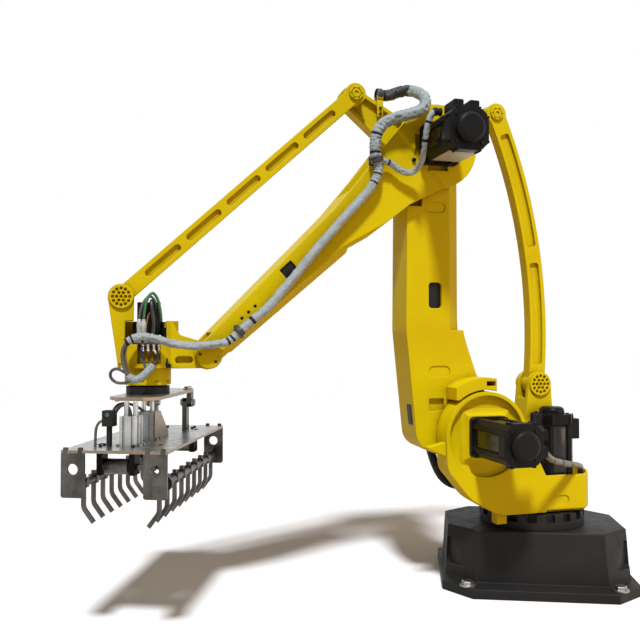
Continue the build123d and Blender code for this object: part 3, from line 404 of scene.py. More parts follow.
metalFinishes = {
    "stainless": {
        "colour": (0.50, 0.54, 0.53, 1), "dull": (0.30, 0.31, 0.30, 1), "stainAndShade": (0.13, 0.070, 0.028, 1),
        "rough": (0.24, 0.44), "stretch": (6, 260, 260), "turn": -gripYaw, "stainAndShadeShare": 0.55,
        "cutEdge": (0.24, 0.15, 0.085, 1),
    },
    # the steel darkened as painted shade and painted dark reflection, for gripper parts that sit in shade
    "darkSteel": {
        "colour": (0.135, 0.130, 0.118, 1), "dull": (0.060, 0.056, 0.049, 1),
        "stainAndShade": (0.10, 0.052, 0.020, 1),
        "rough": (0.26, 0.46), "stretch": (260, 260, 6), "turn": -gripYaw, "stainAndShadeShare": 0.55,
    },
    "castAluminium": {
        "colour": (0.60, 0.60, 0.595, 1), "dull": (0.40, 0.40, 0.39, 1), "stainAndShade": (0.09, 0.08, 0.07, 1),
        "rough": (0.28, 0.46), "stretch": (240, 240, 8), "turn": -gripYaw, "stainAndShadeShare": 0.3,
    },
    "zincScrew": {
        "colour": (0.42, 0.41, 0.39, 1), "dull": (0.26, 0.25, 0.235, 1), "stainAndShade": (0.13, 0.075, 0.03, 1),
        "rough": (0.28, 0.44), "stretch": (90, 90, 90), "turn": 0.0, "stainAndShadeShare": 0.5,
    },
    "blackScrew": {
        "colour": (0.030, 0.030, 0.032, 1), "dull": (0.018, 0.018, 0.018, 1),
        "stainAndShade": (0.05, 0.034, 0.018, 1),
        "rough": (0.34, 0.5), "stretch": (90, 90, 90), "turn": 0.0, "stainAndShadeShare": 0.3,
    },
    "nickelFitting": {
        "colour": (0.66, 0.63, 0.57, 1), "dull": (0.46, 0.43, 0.38, 1), "stainAndShade": (0.18, 0.12, 0.06, 1),
        "rough": (0.14, 0.28), "stretch": (80, 80, 80), "turn": 0.0, "stainAndShadeShare": 0.3,
    },
}


def metalLook(name):
    s = metalFinishes[name]
    look, tree, shader = newLook(name)
    plain = objectPlace(tree)
    brushed = mottled(tree, objectPlace(tree, s["stretch"], s["turn"]), 1.0, 3)
    clouds = mottled(tree, plain, 16, 4)
    tone = blended(tree, ranged(tree, clouds, 0.35, 0.68), s["colour"], s["dull"])
    tone = blended(tree, ranged(tree, brushed, 0.3, 0.75, 0, 0.45), tone, s["dull"])
    normal, edge = roundedEdges(tree, 0.0012)
    # the spots are real stains; crevices darkened toward the stain colour are painted shade
    spots = ranged(tree, mottled(tree, plain, 55, 5), 0.56, 0.72, 0, s["stainAndShadeShare"])
    dirtAndShade = maths(tree, "MAXIMUM", spots, maths(tree, "MULTIPLY", creviceShade(tree, 0.02), s["stainAndShadeShare"]))
    tone = blended(tree, dirtAndShade, tone, s["stainAndShade"])
    # edges lightened toward the clean colour: a painted highlight along the edges
    tone = blended(tree, maths(tree, "MULTIPLY", edge, 0.35), tone, s["colour"])
    if "cutEdge" in s:  # flame-cut sides of the level plates
        facing = put(tree, "ShaderNodeSeparateXYZ")
        link(tree, put(tree, "ShaderNodeTexCoord").outputs["Normal"], facing, 0)
        upright = ranged(tree, maths(tree, "ABSOLUTE", facing.outputs["Z"], 0.0), 0.2, 0.8, 0.8, 0)
        tone = blended(tree, upright, tone, s["cutEdge"])
    rough = ranged(tree, maths(tree, "ADD", brushed, dirtAndShade), 0.25, 1.1, *s["rough"])
    fitShader(tree, shader, tone, rough, bumped(tree, brushed, 0.12, 0.0004, normal))
    shader.inputs["Metallic"].default_value = 1.0
    return look


waveStep = 0.314  # a wave band's width times its scale
wovenFinishes = {
    "silverSleeve": {
        "colour": (0.385, 0.470, 0.525, 1), "fold": (0.065, 0.071, 0.075, 1), "thread": 0.0021,
        "rough": (0.44, 0.64), "sheen": 0.15, "relief": 0.0011,
    },
    "greyBraid": {
        "colour": (0.22, 0.205, 0.185, 1), "fold": (0.018, 0.015, 0.012, 1), "thread": 0.0034,
        "rough": (0.32, 0.52), "sheen": 0.05, "relief": 0.0014,
    },
    # sleeve colour for the stretch in painted shade
    "darkSleeve": {
        "colour": (0.040, 0.040, 0.041, 1), "fold": (0.008, 0.008, 0.008, 1), "thread": 0.0024,
        "rough": (0.40, 0.60), "sheen": 0.05, "relief": 0.0011,
    },
}


def wovenLook(name):  # a braid that follows the sleeve's own map
    s = wovenFinishes[name]
    look, tree, shader = newLook(name)
    sheet = put(tree, "ShaderNodeTexCoord").outputs["UV"]
    strands = []
    for turn in (math.radians(45), math.radians(-45)):
        mapping = put(tree, "ShaderNodeMapping", {"Rotation": (0, 0, turn)})
        link(tree, sheet, mapping, "Vector")
        strand = {"Scale": waveStep / s["thread"], "Distortion": 0.6, "Detail": 1.0}
        wave = put(tree, "ShaderNodeTexWave", strand)
        link(tree, mapping.outputs["Vector"], wave, "Vector")
        strands.append(wave.outputs["Fac"])
    braid = maths(tree, "MAXIMUM", strands[0], strands[1])
    plain = objectPlace(tree)
    soil = mottled(tree, plain, 24, 5)
    tone = blended(tree, ranged(tree, braid, 0.30, 0.95, 0.5, 1), s["fold"], s["colour"])
    tone = blended(tree, ranged(tree, soil, 0.50, 0.78, 0, 0.25), tone, s["fold"])
    # creases darkened toward the fold colour: painted shade
    tone = blended(tree, maths(tree, "MULTIPLY", creviceShade(tree, 0.012), 0.7), tone, s["fold"])
    rough = ranged(tree, soil, 0.3, 0.7, *s["rough"])
    fitShader(tree, shader, tone, rough, bumped(tree, braid, 0.5, s["relief"]))
    setSockets(shader, {"Sheen Weight": s["sheen"], "Sheen Roughness": 0.4})
    return look


tubeFinishes = {
    "blackTube": {
        "colour": (0.008, 0.008, 0.009, 1), "dusty": (0.026, 0.025, 0.023, 1), "rough": (0.24, 0.46),
    },
    "greenTube": {"colour": (0.012, 0.140, 0.036, 1), "dusty": (0.03, 0.17, 0.06, 1), "rough": (0.22, 0.40)},
    "greyTube": {"colour": (0.060, 0.066, 0.055, 1), "dusty": (0.10, 0.10, 0.09, 1), "rough": (0.28, 0.45)},
    "copperTube": {"colour": (0.17, 0.085, 0.030, 1), "dusty": (0.12, 0.065, 0.03, 1), "rough": (0.26, 0.42)},
    "whiteTube": {"colour": (0.58, 0.64, 0.68, 1), "dusty": (0.38, 0.41, 0.43, 1), "rough": (0.28, 0.45)},
    "blueTube": {"colour": (0.015, 0.055, 0.26, 1), "dusty": (0.04, 0.08, 0.24, 1), "rough": (0.26, 0.42)},
}


def tubeLook(name):
    s = tubeFinishes[name]
    look, tree, shader = newLook(name)
    plain = objectPlace(tree)
    dust = mottled(tree, plain, 40, 4)
    tone = blended(tree, ranged(tree, dust, 0.42, 0.7), s["colour"], s["dusty"])
    rough = ranged(tree, dust, 0.3, 0.7, *s["rough"])
    fitShader(tree, shader, tone, rough, bumped(tree, mottled(tree, plain, 300, 2), 0.2, 0.0003))
    return look


makers = (
    (paintLook, paintFinishes), (metalLook, metalFinishes),
    (wovenLook, wovenFinishes), (tubeLook, tubeFinishes),
)
looks = {name: maker(name) for maker, finishes in makers for name in finishes}
print("finishes ready:", len(looks))

# every imported node takes the finish of its record slot, and the gripper's bare bars a darker steel that stands
# in for their shade and dark reflections (painted shade)
slotLooks = {
    "yellow_paint": "castYellow", "dark_paint": "baseGrey", "motor_black": "motorBlack",
    "stainless_plate": "stainless", "hose_sleeve": "silverSleeve", "black_plastic": "mouldedBlack",
    "bare_aluminium": "castAluminium",
}
nodeSlots = {row["node"]: row["material_slot"] for row in frame["record"]["subparts"]}
shadedSteelNodes = ("leg", "claw", "strap", "rod")
for nodeName, node in frame["nodes"].items():
    look = "darkSteel" if nodeName.split("_")[-1] in shadedSteelNodes else slotLooks[nodeSlots[nodeName]]
    paint(node, look)
print("packed nodes finished:", len(frame["nodes"]))


# hoses
def smoothLine(points, steps):
    curve = bpy.data.curves.new("route", "CURVE")
    curve.dimensions = "3D"
    spline = curve.splines.new("NURBS")
    spline.points.add(len(points) - 1)
    for spot, point in zip(spline.points, points):
        spot.co = (*point, 1)
    spline.order_u = 3
    spline.use_endpoint_u = True
    spline.resolution_u = steps
    carrier = placed("route", curve)
    mesh = bpy.data.meshes.new_from_object(carrier)
    line = [vertex.co.copy() for vertex in mesh.vertices]
    bpy.data.meshes.remove(mesh)
    bpy.data.objects.remove(carrier)
    bpy.data.curves.remove(curve)
    return line


def tubeAlong(name, line, sides, radiusAt, bandAt=None):
    mesh = bmesh.new()
    sheet = mesh.loops.layers.uv.new("sleeve")
    rings, lengths, travelled = [], [], 0.0
    normal = (line[1] - line[0]).orthogonal().normalized()
    for index, point in enumerate(line):
        heading = (line[min(index + 1, len(line) - 1)] - line[max(index - 1, 0)]).normalized()
        normal = (normal - heading * normal.dot(heading)).normalized()
        side = heading.cross(normal)
        if index:
            travelled += (point - line[index - 1]).length
        ring = []
        for k in range(sides):
            angle = 2 * math.pi * k / sides
            outward = normal * math.cos(angle) + side * math.sin(angle)
            ring.append(mesh.verts.new(point + outward * radiusAt(travelled, angle)))
        rings.append(ring)
        lengths.append(travelled)
    around = 2 * math.pi * radiusAt(0.0, 0.0)
    for i in range(len(rings) - 1):
        for k in range(sides):
            nextK = (k + 1) % sides
            face = mesh.faces.new((rings[i][k], rings[i][nextK], rings[i + 1][nextK], rings[i + 1][k]))
            face.smooth = True
            spots = ((k, i), (k + 1, i), (k + 1, i + 1), (k, i + 1))
            for loop, (column, row) in zip(face.loops, spots):
                loop[sheet].uv = (around * column / sides, lengths[row])
            if bandAt:
                face.material_index = bandAt(lengths[i])
    mesh.faces.new(list(reversed(rings[0])))
    mesh.faces.new(rings[-1])
    bmesh.ops.recalc_face_normals(mesh, faces=mesh.faces)
    data = bpy.data.meshes.new(name)
    mesh.to_mesh(data)
    mesh.free()
    return placed(name, data), travelled


# folds across and along a sleeve: how close, how far they spread round it, and their share of its radius
folds = {
    "rings": 78, "ringSpread": 1.1, "ringLift": 0.55, "ringCut": 1.9,
    "runs": 14, "runSpread": 2.3, "runShare": 0.8,
    "pucker": 0.09, "puckerPitch": 0.010, "lobeTwist": 16, "slack": 0.97, "most": 1.08,
}


def creased(radius, depth, seed, ribs=(0, 0), lobes=0.0):  # a loose woven sleeve, gathered here and there
    def radiusAt(travelled, angle):
        across, aside = math.cos(angle), math.sin(angle)
        spread = folds["ringSpread"]
        ringSpot = Vector((travelled * folds["rings"], across * spread + seed, aside * spread))
        ringFold = folds["ringLift"] - folds["ringCut"] * abs(noise.noise(ringSpot))
        spread = folds["runSpread"]
        longFold = noise.noise(Vector((travelled * folds["runs"], across * spread, aside * spread + seed)))
        share = folds["slack"] + depth * ringFold + depth * folds["runShare"] * longFold
        if ribs[0] < travelled < ribs[1]:
            share += folds["pucker"] * math.cos(2 * math.pi * travelled / folds["puckerPitch"])
        share += lobes * math.cos(2 * angle + travelled * folds["lobeTwist"])
        return radius * min(folds["most"], share)
    return radiusAt


def banded(radiusAt, bands, bandRadius, shadedStretch, half=0.004):  # ties, and a stretch of sleeve painted dark as shade
    def stretchAt(travelled):
        if any(abs(travelled - band) < half for band in bands):
            return 1
        return 2 if shadedStretch[0] < travelled < shadedStretch[1] else 0

    def radiusWithBands(travelled, angle):
        return bandRadius if stretchAt(travelled) == 1 else radiusAt(travelled, angle)
    return radiusWithBands, stretchAt


# routes in mm, other lengths in metres
elbowLoop = {
    "node": "elbow_hose", "radius": 0.0182, "crease": 0.30, "seed": 1.7,
    # the loop's first 0.135 m is painted dark as shade
    "bands": (0.017, 0.470, 0.528, 0.549), "shadedStretch": (0.0, 0.135), "ribs": (0.475, 0.545),
    "route": [
        (160, -34, 200), (121, -34, 200), (95, -22, 211), (72, 20, 208), (58, 70, 186), (51, 114, 160),
        (55, 136, 126), (75, 141, 103), (113, 140, 89), (161, 137, 76), (205, 133, 53), (228, 131, 16),
        (230, 130, -24), (229, 130, -51.7), (224, 130, -68),
    ],
}
armRun = {
    "node": "arm_hose", "radius": 0.0140, "crease": 0.16, "seed": 4.2, "bands": (0.045, 0.075, 0.665),
    "ribs": (0.0, 0.07),
    "route": [
        (223, 130, -66), (218, 130, -80.3), (218, 130, -104), (233, 129, -141), (269, 127, -185),
        (328, 124, -251), (397, 123, -328), (461, 123, -405), (519, 122, -476), (575, 121, -543),
        (627.6, 121, -583.2), (664, 121, -616.5),
    ],
}
wristRun = {
    "node": "wrist_hose", "radius": 0.0122, "crease": 0.24, "seed": 8.3,
    "bands": (0.030, 0.047, 0.335, 0.352), "ribs": (0.28, 0.36),
    "route": [
        (-90.5, 121, 74.9), (-76.8, 121, 62.3), (-57.1, 121, 44.2), (-24, 126, 36), (18, 129, 32),
        (62, 129, 31), (106, 127, 36), (150, 123, 50), (190, 120, 60), (222, 118, 56), (246, 116.5, 41),
    ],
}
motorLead = {
    "node": "motor_lead", "radius": 0.0098, "crease": 0.24, "seed": 2.9, "bands": (0.040, 0.245, 0.300),
    "lobes": 0.13,
    "route": [
        (222, 127, -64), (187.7, 124, -68), (170, 124, -72), (149, 125, -90), (118, 128, -103),
        (94, 138, -95), (86, 162, -76), (87, 190, -44), (90, 212, 0), (86, 222, 44), (72, 224, 76),
        (43.2, 224, 76),
    ],
}
tubConduit = {
    "node": "tub_conduit", "radius": 0.0150, "rib": 0.0014, "pitch": 0.0085,
    "route": [
        (92, -152.3, 305), (92, -174, 305), (112, -190, 298), (150, -192, 292), (196, -176, 292),
        (242, -150, 306), (286, -126, 336), (318, -112, 384), (338, -108, 440), (354, -110, 498),
        (366, -114, 552), (375, -108, 588), (380, -90, 606), (380, -65.3, 606),
    ],
}
motorCable = {
    "node": "motor_cable", "radius": 0.0098, "crease": 0.20, "seed": 6.1, "bands": (0.035, 0.10, 0.17, 0.24),
    "lobes": 0.06,
    "route": [
        (155.7, 298, 488), (134, 298, 488), (112, 288, 464), (78, 262, 446), (36, 232, 434), (-10, 204, 422),
        (-56, 172, 412), (-98, 142, 404), (-128, 112, 392), (-138, 96, 364), (-138, 96, 273.3),
    ],
}


def sleevedHose(s, origin, look, steps=14, sides=26):
    points = [near(origin, *p) for p in s["route"]]
    line = smoothLine(points, steps)
    loose = creased(s["radius"], s["crease"], s["seed"], s.get("ribs", (0, 0)), s.get("lobes", 0.0))
    radiusAt, stretchAt = banded(loose, s["bands"], s["radius"], s.get("shadedStretch", (0, 0)))
    hose, length = tubeAlong(s["node"] + "Sleeve", line, sides, radiusAt, stretchAt)
    for name in (look, "mouldedBlack", "darkSleeve"):
        hose.data.materials.append(looks[name])
    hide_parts(s["node"])
    print(s["node"], "length", round(length, 3))
    return hose, points


hose, points = sleevedHose(elbowLoop, elbow, "silverSleeve")
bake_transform(hose)
hose, points = sleevedHose(armRun, elbow, "silverSleeve")
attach(hose, "upper_arm")
hose, points = sleevedHose(wristRun, wrist, "silverSleeve")
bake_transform(hose)
hose, points = sleevedHose(motorLead, elbow, "silverSleeve")
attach(hose, "upper_arm")
hose, points = sleevedHose(motorCable, floorMiddle, "greyBraid")
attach(hose, "turntable")


def ribbedConduit(s):
    points = [near(floorMiddle, *p) for p in s["route"]]
    line = smoothLine(points, 34)

    def radiusAt(travelled, angle):
        return s["radius"] + s["rib"] * math.cos(2 * math.pi * travelled / s["pitch"])
    pipe, length = tubeAlong("ribbedConduit", line, 20, radiusAt)
    paint(pipe, "mouldedBlack")
    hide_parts(s["node"])
    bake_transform(pipe)
    print(s["node"], "length", round(length, 3))


ribbedConduit(tubConduit)

# thin tubes of the wrist and the gripper: look, radius in mm, places along the tube
wristTubes = [
    ("greyTube", 5.0, [
        (238, 118, 46), (250, 117, 36), (258, 116, 8), (253, 116, -22), (245, 116, -46),
        (234, 115, -64), (226, 114, -68),
    ]),
    ("copperTube", 4.5, [
        (230, 110, 50), (244, 109, 36), (249, 107, 8), (245, 107, -20), (238, 108, -44),
        (230, 109, -60), (222, 109, -66),
    ]),
    ("blackTube", 6.0, [(176, 97, -36), (162, 93, -22), (153, 89, -6), (151, 86, 4)]),
    ("whiteTube", 3.2, [(162, 66, 22), (160, 72, 14), (156, 80, 8), (153, 87, -4)]),
    ("copperTube", 3.2, [(146, 66, 22), (146, 72, 14), (147, 80, 8), (150, 87, -4)]),
    ("greyTube", 2.0, [(180, 66, 22), (179, 73, 8), (178, 84, -8), (177, 92, -24), (178, 97, -40)]),
    ("copperTube", 2.6, [(186, 66, 60), (186, 68, 84), (183, 66, 108), (178, 58, 126), (174, 42, 132)]),
    ("blueTube", 3.0, [
        (196, 66, 37), (199, 76, 24), (201, 87, 8), (195, 92, -14), (187, 95, -34), (186, 98, -46),
    ]),
    ("greyTube", 4.6, [
        (232, 106, -58), (250, 98, -44), (272, 84, -34), (289, 72, -44), (289, 64, -64), (272, 64, -79),
        (250, 74, -80), (234, 90, -74), (224, 100, -68),
    ]),
    ("greenTube", 4.6, [
        (193, 66, 112), (191, 65, 140), (184, 62, 172), (168, 58, 196), (152, 54, 178), (144, 48, 146),
        (140, 44, 120), (140, 38, 104),
    ]),
    ("greyTube", 4.0, [
        (206, 66, 112), (204, 65, 136), (194, 62, 164), (178, 57, 184), (163, 52, 176), (156, 47, 158),
        (154, 40, 146),
    ]),
    ("blackTube", 6.5, [
        (166, 66, 60), (163, 66, 82), (164, 65, 112), (168, 62, 140), (170, 56, 160), (168, 46, 170),
        (166, 36, 162),
    ]),
    ("blackTube", 2.6, [
        (146, 66, 60), (138, 70, 56), (133, 75, 40), (130, 77, 18), (127, 74, -4), (126, 71, -16),
    ]),
]
gripTubes = [
    ("blackTube", 4.2, [
        (28, 207, 612), (20, 206, 632), (4, 204, 648), (-12, 202, 644), (-20, 202, 628),
        (-22, 202, 612),
    ]),
    ("blackTube", 4.2, [
        (36, 196, 624), (34, 182, 640), (26, 150, 648), (4, 112, 640), (-14, 86, 622), (-20, 72, 606),
    ]),
    ("greyTube", 4.0, [(52, 207, 604), (66, 208, 602), (78, 209, 586), (80, 210, 560), (80, 210, 531)]),
]


def tubeBundle(name, tubes, place, body):
    pieces = []
    for look, radius, route in tubes:
        line = smoothLine([place(*p) for p in route], 10)
        tube = tubeAlong("tube", line, 14, lambda travelled, angle: radius / 1000)[0]
        paint(tube, look)
        pieces.append(tube)
    bundle = joined(pieces, name)
    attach(bundle, body)
    return bundle


def fromWrist(x, y, z):
    return near(wrist, x, y, z)


tubes = tubeBundle("wristTubes", wristTubes, fromWrist, "wrist")
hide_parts("wrist_hose")
tubeBundle("gripperTubes", gripTubes, gripPoint, "gripper")

# the taped bundle under the tubes
tapedRun = {
    "radius": 0.0108, "crease": 0.24, "seed": 3.3, "ribs": (0.0, 0.2),
    "route": [
        (240, 112, -54), (228, 112, -68), (206, 109, -66), (188, 103, -50), (176, 98, -38), (166, 94, -27),
    ],
}
line = smoothLine([fromWrist(*p) for p in tapedRun["route"]], 16)
loose = creased(tapedRun["radius"], tapedRun["crease"], tapedRun["seed"], tapedRun["ribs"])
taped = tubeAlong("tapedBundle", line, 24, loose)[0]
wear(taped, "silverSleeve", "wrist")
print("hoses laid")


# screws and nuts, each modelled once, in shares of the head's radius and height
def stud(sides, radius, height):  # a cylinder on its foot, in edit mode with the top face picked
    dropSelection()
    middle = (0, 0, height / 2)
    bpy.ops.mesh.primitive_cylinder_add(vertices=sides, radius=radius, depth=height, location=middle)
    piece = bpy.context.object
    editing(piece)
    pickFaces(piece, lambda f: f.normal.z > 0.9)
    return piece


def socketScrew(radius, height):
    screw = stud(18, radius, height)
    insetFace(radius * 0.14, height * 0.08)
    insetFace(radius * 0.30)
    extrudeUp(-height * 0.55)
    return settle(doneEditing(screw, 0.5))


def hexHead(radius, height, washerRadius):
    head = stud(6, radius, height)
    insetFace(radius * 0.12, height * 0.10)
    settle(doneEditing(head, 0.4))
    thick = height * 0.28
    washer = stud(24, washerRadius, thick)
    insetFace(washerRadius * 0.08, thick * 0.15)
    settle(doneEditing(washer, 0.5))
    return joined([head, washer], "hexHead")


def pinCover(radius, height):  # a turned cover over a pin's end, with a ring groove and a sunk middle
    cover = stud(40, radius, height)
    insetFace(radius * 0.08, height * 0.15)
    for width, rise in ((0.22, -0.7), (0.08, 0.7), (0.34, -0.5)):
        insetFace(radius * width)
        extrudeUp(height * rise)
    return settle(doneEditing(cover, 0.5))


smallScrew = socketScrew(0.0050, 0.0050)
midScrew = socketScrew(0.0065, 0.0070)
bigScrew = socketScrew(0.0095, 0.0100)
smallNut = hexHead(0.0075, 0.0065, 0.0095)
midNut = hexHead(0.0110, 0.0085, 0.0150)
anchorBolt = hexHead(0.0200, 0.0150, 0.0270)
pinCovers = {"link": (0.0240, 0.0060), "wide": (0.0420, 0.0080)}  # radius and height
coverMasters = {kind: pinCover(*size) for kind, size in pinCovers.items()}
tinyScrew = socketScrew(0.0020, 0.0024)
coverMasters["plain"] = turned([(39, 0), (39, 1.2), (37.6, 2.0), (30, 2.2), (10, 2.2)], 48)
coverPlug = turned([(4.6, 0), (4.6, 0.8), (3.4, 0.4), (1.2, 0.4)], 16)
masters = [smallScrew, midScrew, bigScrew, tinyScrew, smallNut, midNut, anchorBolt, coverPlug]
masters += coverMasters.values()


def ringAt(base, radius, count, turn=0.0):
    angles = [turn + 2 * math.pi * k / count for k in range(count)]
    return [base @ Matrix.Translation((radius * math.cos(a), radius * math.sin(a), 0)) for a in angles]


def ringOf(centre, axis, radius, count, turn=0.0):
    return ringAt(standing(centre, axis), radius, count, turn)


def corners(x, y):
    return [(i * x, j * y) for i in (-1, 1) for j in (-1, 1)]


# motors: screws, corner bosses and side panels, in each motor's own axes
motorDress = {
    "elbowMotor": {
        "body": "upper_arm", "at": near(elbow, 0, 106, 0), "x": -ahead, "z": left, "size": 132, "long": 251,
    },
    "shoulderMotor": {
        "body": "turntable", "at": near(shoulder, 0, 152, 0), "x": -up, "z": left, "size": 132, "long": 251,
    },
    "slewMotor": {
        "body": "turntable", "at": near(floorMiddle, -33, 84.5, 349), "x": left, "z": up,
        "size": 118, "long": 251,
    },
    "wristMotor": {
        "body": "wrist", "at": near(wrist, 176, 0, -22), "x": left, "z": up, "size": 86, "long": 150,
    },
}
# shares of the motor's width, and heights in metres above the flange or below the end bell
motorShares = {
    "flange": 0.433, "bell": 0.315, "bossOut": 0.49, "bossAside": 0.285, "panel": 0.45, "panelOut": 0.465,
}
motorHeights = {
    "flange": 0.016, "bell": 0.024, "screwSunk": 0.001, "boss": 0.035, "panelLow": 0.022, "panelTop": 0.040,
}
bossProfile = [(5.0, 0), (5.0, 30), (3.6, 32), (3.6, 36)]
panelSteps = ((0.004, -0.0014), (0.003, 0.0010))  # a sunk rim, then a raised middle
panelFit = {"thick": 0.004, "trim": 0.006, "sunk": 0.0055, "edge": 0.0007}


def sidePanel(width, height, thick):  # its face is the +Y side
    panel = box((width, thick, height))
    editing(panel)
    pickFaces(panel, lambda f: f.normal.y > 0.9)
    for inset, rise in panelSteps:
        bpy.ops.mesh.inset(thickness=inset)
        bpy.ops.transform.translate(value=(0, rise, 0))
    return softenEdges(doneEditing(panel, 0.4), panelFit["edge"])


def dressMotor(name, s):
    place = axesAt(s["at"], s["x"], s["z"])
    width = {key: s["size"] / 1000 * share for key, share in motorShares.items()}
    bellTop = s["long"] / 1000 - motorHeights["bell"]

    def atSpots(spots, z):
        return [place @ Matrix.Translation((x, y, z)) for x, y in spots]

    flange = atSpots(corners(width["flange"], width["flange"]), motorHeights["flange"])
    bell = atSpots(corners(width["bell"], width["bell"]), bellTop - motorHeights["screwSunk"])
    screws = [copiesOf(midScrew, flange, "flange"), copiesOf(smallScrew, bell, "bell")]
    wear(joined(screws, name + "Screws"), "blackScrew", s["body"])
    out, aside = width["bossOut"], width["bossAside"]
    boss = turned(bossProfile, 10)
    spots = atSpots(corners(out, aside) + corners(aside, out), bellTop - motorHeights["boss"])
    wear(copiesOf(boss, spots, name + "Bosses"), "motorBlack", s["body"])
    bpy.data.objects.remove(boss)
    low, high = motorHeights["panelLow"], bellTop - motorHeights["panelTop"]
    panel = sidePanel(width["panel"] - panelFit["trim"], high - low, panelFit["thick"])
    side = Matrix.Translation((0, width["panelOut"] - panelFit["sunk"], (low + high) / 2))
    turns = [place @ Matrix.Rotation(math.pi / 2 * k, 4, "Z") @ side for k in range(4)]
    wear(copiesOf(panel, turns, name + "Panels"), "motorPanel", s["body"])
    bpy.data.objects.remove(panel)


for name, s in motorDress.items():
    dressMotor(name, s)

# black plates set back in the arm windows, standing in for the shade inside the hollow casting (painted shade),
# and the pale cover under the elbow motor
flatCovers = {
    "lowerWindowShade": {
        "size": (0.0455, 0.004, 0.0855), "place": Matrix.Translation(near(shoulder, 146, 53, 465.6)),
        "look": "mouldedBlack", "slot": "black_plastic", "body": "lower_arm",
    },
    "upperWindowShade": {
        "size": (0.0485, 0.004, 0.0345), "place": axesAt(armPoint(657, 31, 90), armAlong, armUp),
        "look": "mouldedBlack", "slot": "black_plastic", "body": "upper_arm",
    },
    "elbowMotorCover": {
        "size": (0.098, 0.128, 0.003), "place": Matrix.Translation(near(elbow, 0, 232, -62.6)),
        "look": "paleCover", "slot": "motor_black", "body": "upper_arm",
    },
}
for name, s in flatCovers.items():
    cover = settle(block(s["size"]), s["place"])
    wear(named(cover, name), s["look"], s["body"])
print("motors dressed")

# pin covers of the linkage: pin, mm along it to the face, and the side it looks to
coverSpots = [
    ("upperLinkCovers", "link", "elbow_link", [(pivot("upper_link_head"), 24, 1)]),
    ("rearLinkCovers", "link", "elbow_link", [(near(elbow, -272, 0, 160), 2, 1)]),
    ("elbowPinCover", "wide", "lower_arm", [(elbow, -106, -1)]),
    ("wristPinCovers", "plain", "wrist", [(wrist, 104, 1), (wrist, -104, -1)]),
    ("towerPinCover", "wide", "turntable", [(pivot("rear_link_foot"), -60, -1)]),
    ("wristEarCover", "link", "wrist", [(pivot("upper_link_head") + wrist - elbow, -36, -1)]),
]
coverLift = 0.6  # mm between a cover and the face beside the pin
coverScrews = {"count": 6, "radiusShare": 0.81, "heightShare": 0.9}
for name, kind, body, spots in coverSpots:
    places = [standing(near(pin, 0, y + coverLift * side, 0), left * side) for pin, y, side in spots]
    wear(copiesOf(coverMasters[kind], places, name), "castYellow", body)
    if kind in pinCovers:
        radius, height = pinCovers[kind]
        seat = Matrix.Translation((0, 0, height * coverScrews["heightShare"]))
        spots = []
        for place in places:
            spots += ringAt(place @ seat, radius * coverScrews["radiusShare"], coverScrews["count"])
        screws = copiesOf(tinyScrew, spots, name.rstrip("s") + "Screws")
        wear(screws, "blackScrew", body)

# black plug in the opening low on the lower arm's front face
frontPlug = {"size": (0.036, 0.068, 0.0022), "at": near(shoulder, 222.4, 26, 66), "along": (0.1, 0, 0.995)}
plugPanel = settle(sidePanel(*frontPlug["size"]), axesAt(frontPlug["at"], -left, frontPlug["along"]))
wear(named(plugPanel, "armFrontPlug"), "mouldedBlack", "lower_arm")

# smooth floor of the shoulder housing's recess, with a flared seat round the motor
shoulderDish = {
    "floorAt": near(shoulder, 0, 130, 0),
    "floor": [(132.7, 0), (132.7, 12), (129.5, 8), (125, 5.2), (117, 3.6), (80, 3.2), (30, 3.2)],
    "seatAt": near(shoulder, 0, 132.5, 0),
    "seat": [(127, 0), (126, 2), (113, 6), (103, 12), (97, 18.5)],  # half diagonals of a square
    "seatEdge": 0.004,
}
dishFloor = settle(turned(shoulderDish["floor"], 72), standing(shoulderDish["floorAt"], left))
motorSeat = softenEdges(turned(shoulderDish["seat"], 4), shoulderDish["seatEdge"])
settle(motorSeat, standing(shoulderDish["seatAt"], left, math.radians(45)))
wear(joined([dishFloor, motorSeat], "shoulderDish"), "castYellow", "turntable")

# clamps that hold the sleeves: a band, a foot on the casting and its screws
clamps = {
    "loopBracket": {
        "node": "hose_bracket", "body": "elbow_link", "at": near(elbow, 158, -34, 200), "axis": ahead,
        "radius": 0.0190, "width": 0.018, "thick": 0.0035, "footLook": "castYellow",
        "bars": [
            ((0.022, 0.006, 0.066), near(elbow, 158, -21, 153)),
            ((0.022, 0.010, 0.012), near(elbow, 158, -20, 188)),
        ],
        "screws": [near(elbow, 158, -18, 131), near(elbow, 158, -18, 150)],
    },
    "sleeveTie": {
        "node": "hose_tie", "body": "upper_arm", "at": near(elbow, 223, 130, -67), "axis": (-0.38, 0, -0.92),
        "radius": 0.0186, "width": 0.012, "thick": 0.0022, "footLook": "clampSteel",
        "bars": [
            ((0.050, 0.005, 0.024), near(elbow, 216, 100.5, -66)),
            ((0.016, 0.014, 0.014), near(elbow, 221, 107, -67)),
        ],
        "screws": [near(elbow, 197, 103, -66), near(elbow, 236, 103, -66)],
    },
    "tipClamp": {
        "node": "tip_clamp", "body": "upper_arm", "at": armPoint(905, -6, 121), "axis": armAlong,
        "radius": 0.0142, "width": 0.018, "thick": 0.0026, "footLook": "clampSteel",
        "bars": [
            ((0.030, 0.005, 0.040), armPoint(905, -6, 100.5)),
            ((0.012, 0.014, 0.014), armPoint(905, -6, 106)),
        ],
        "screws": [armPoint(905, 8, 103), armPoint(905, -20, 103)],
    },
}


def buildClamp(name, s):
    band = settle(ringBand(s["radius"], s["width"], s["thick"]), standing(s["at"], s["axis"]))
    screws = copiesOf(smallScrew, [standing(at, left) for at in s["screws"]], "clampScrews")
    foot = joined([block(size, at) for size, at in s["bars"]], "clampFoot")
    for piece, look in ((band, "clampSteel"), (screws, "clampSteel"), (foot, s["footLook"])):
        paint(piece, look)
    clamp = joined([band, screws, foot], name)
    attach(clamp, s["body"])
    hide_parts(s["node"])


for name, s in clamps.items():
    buildClamp(name, s)

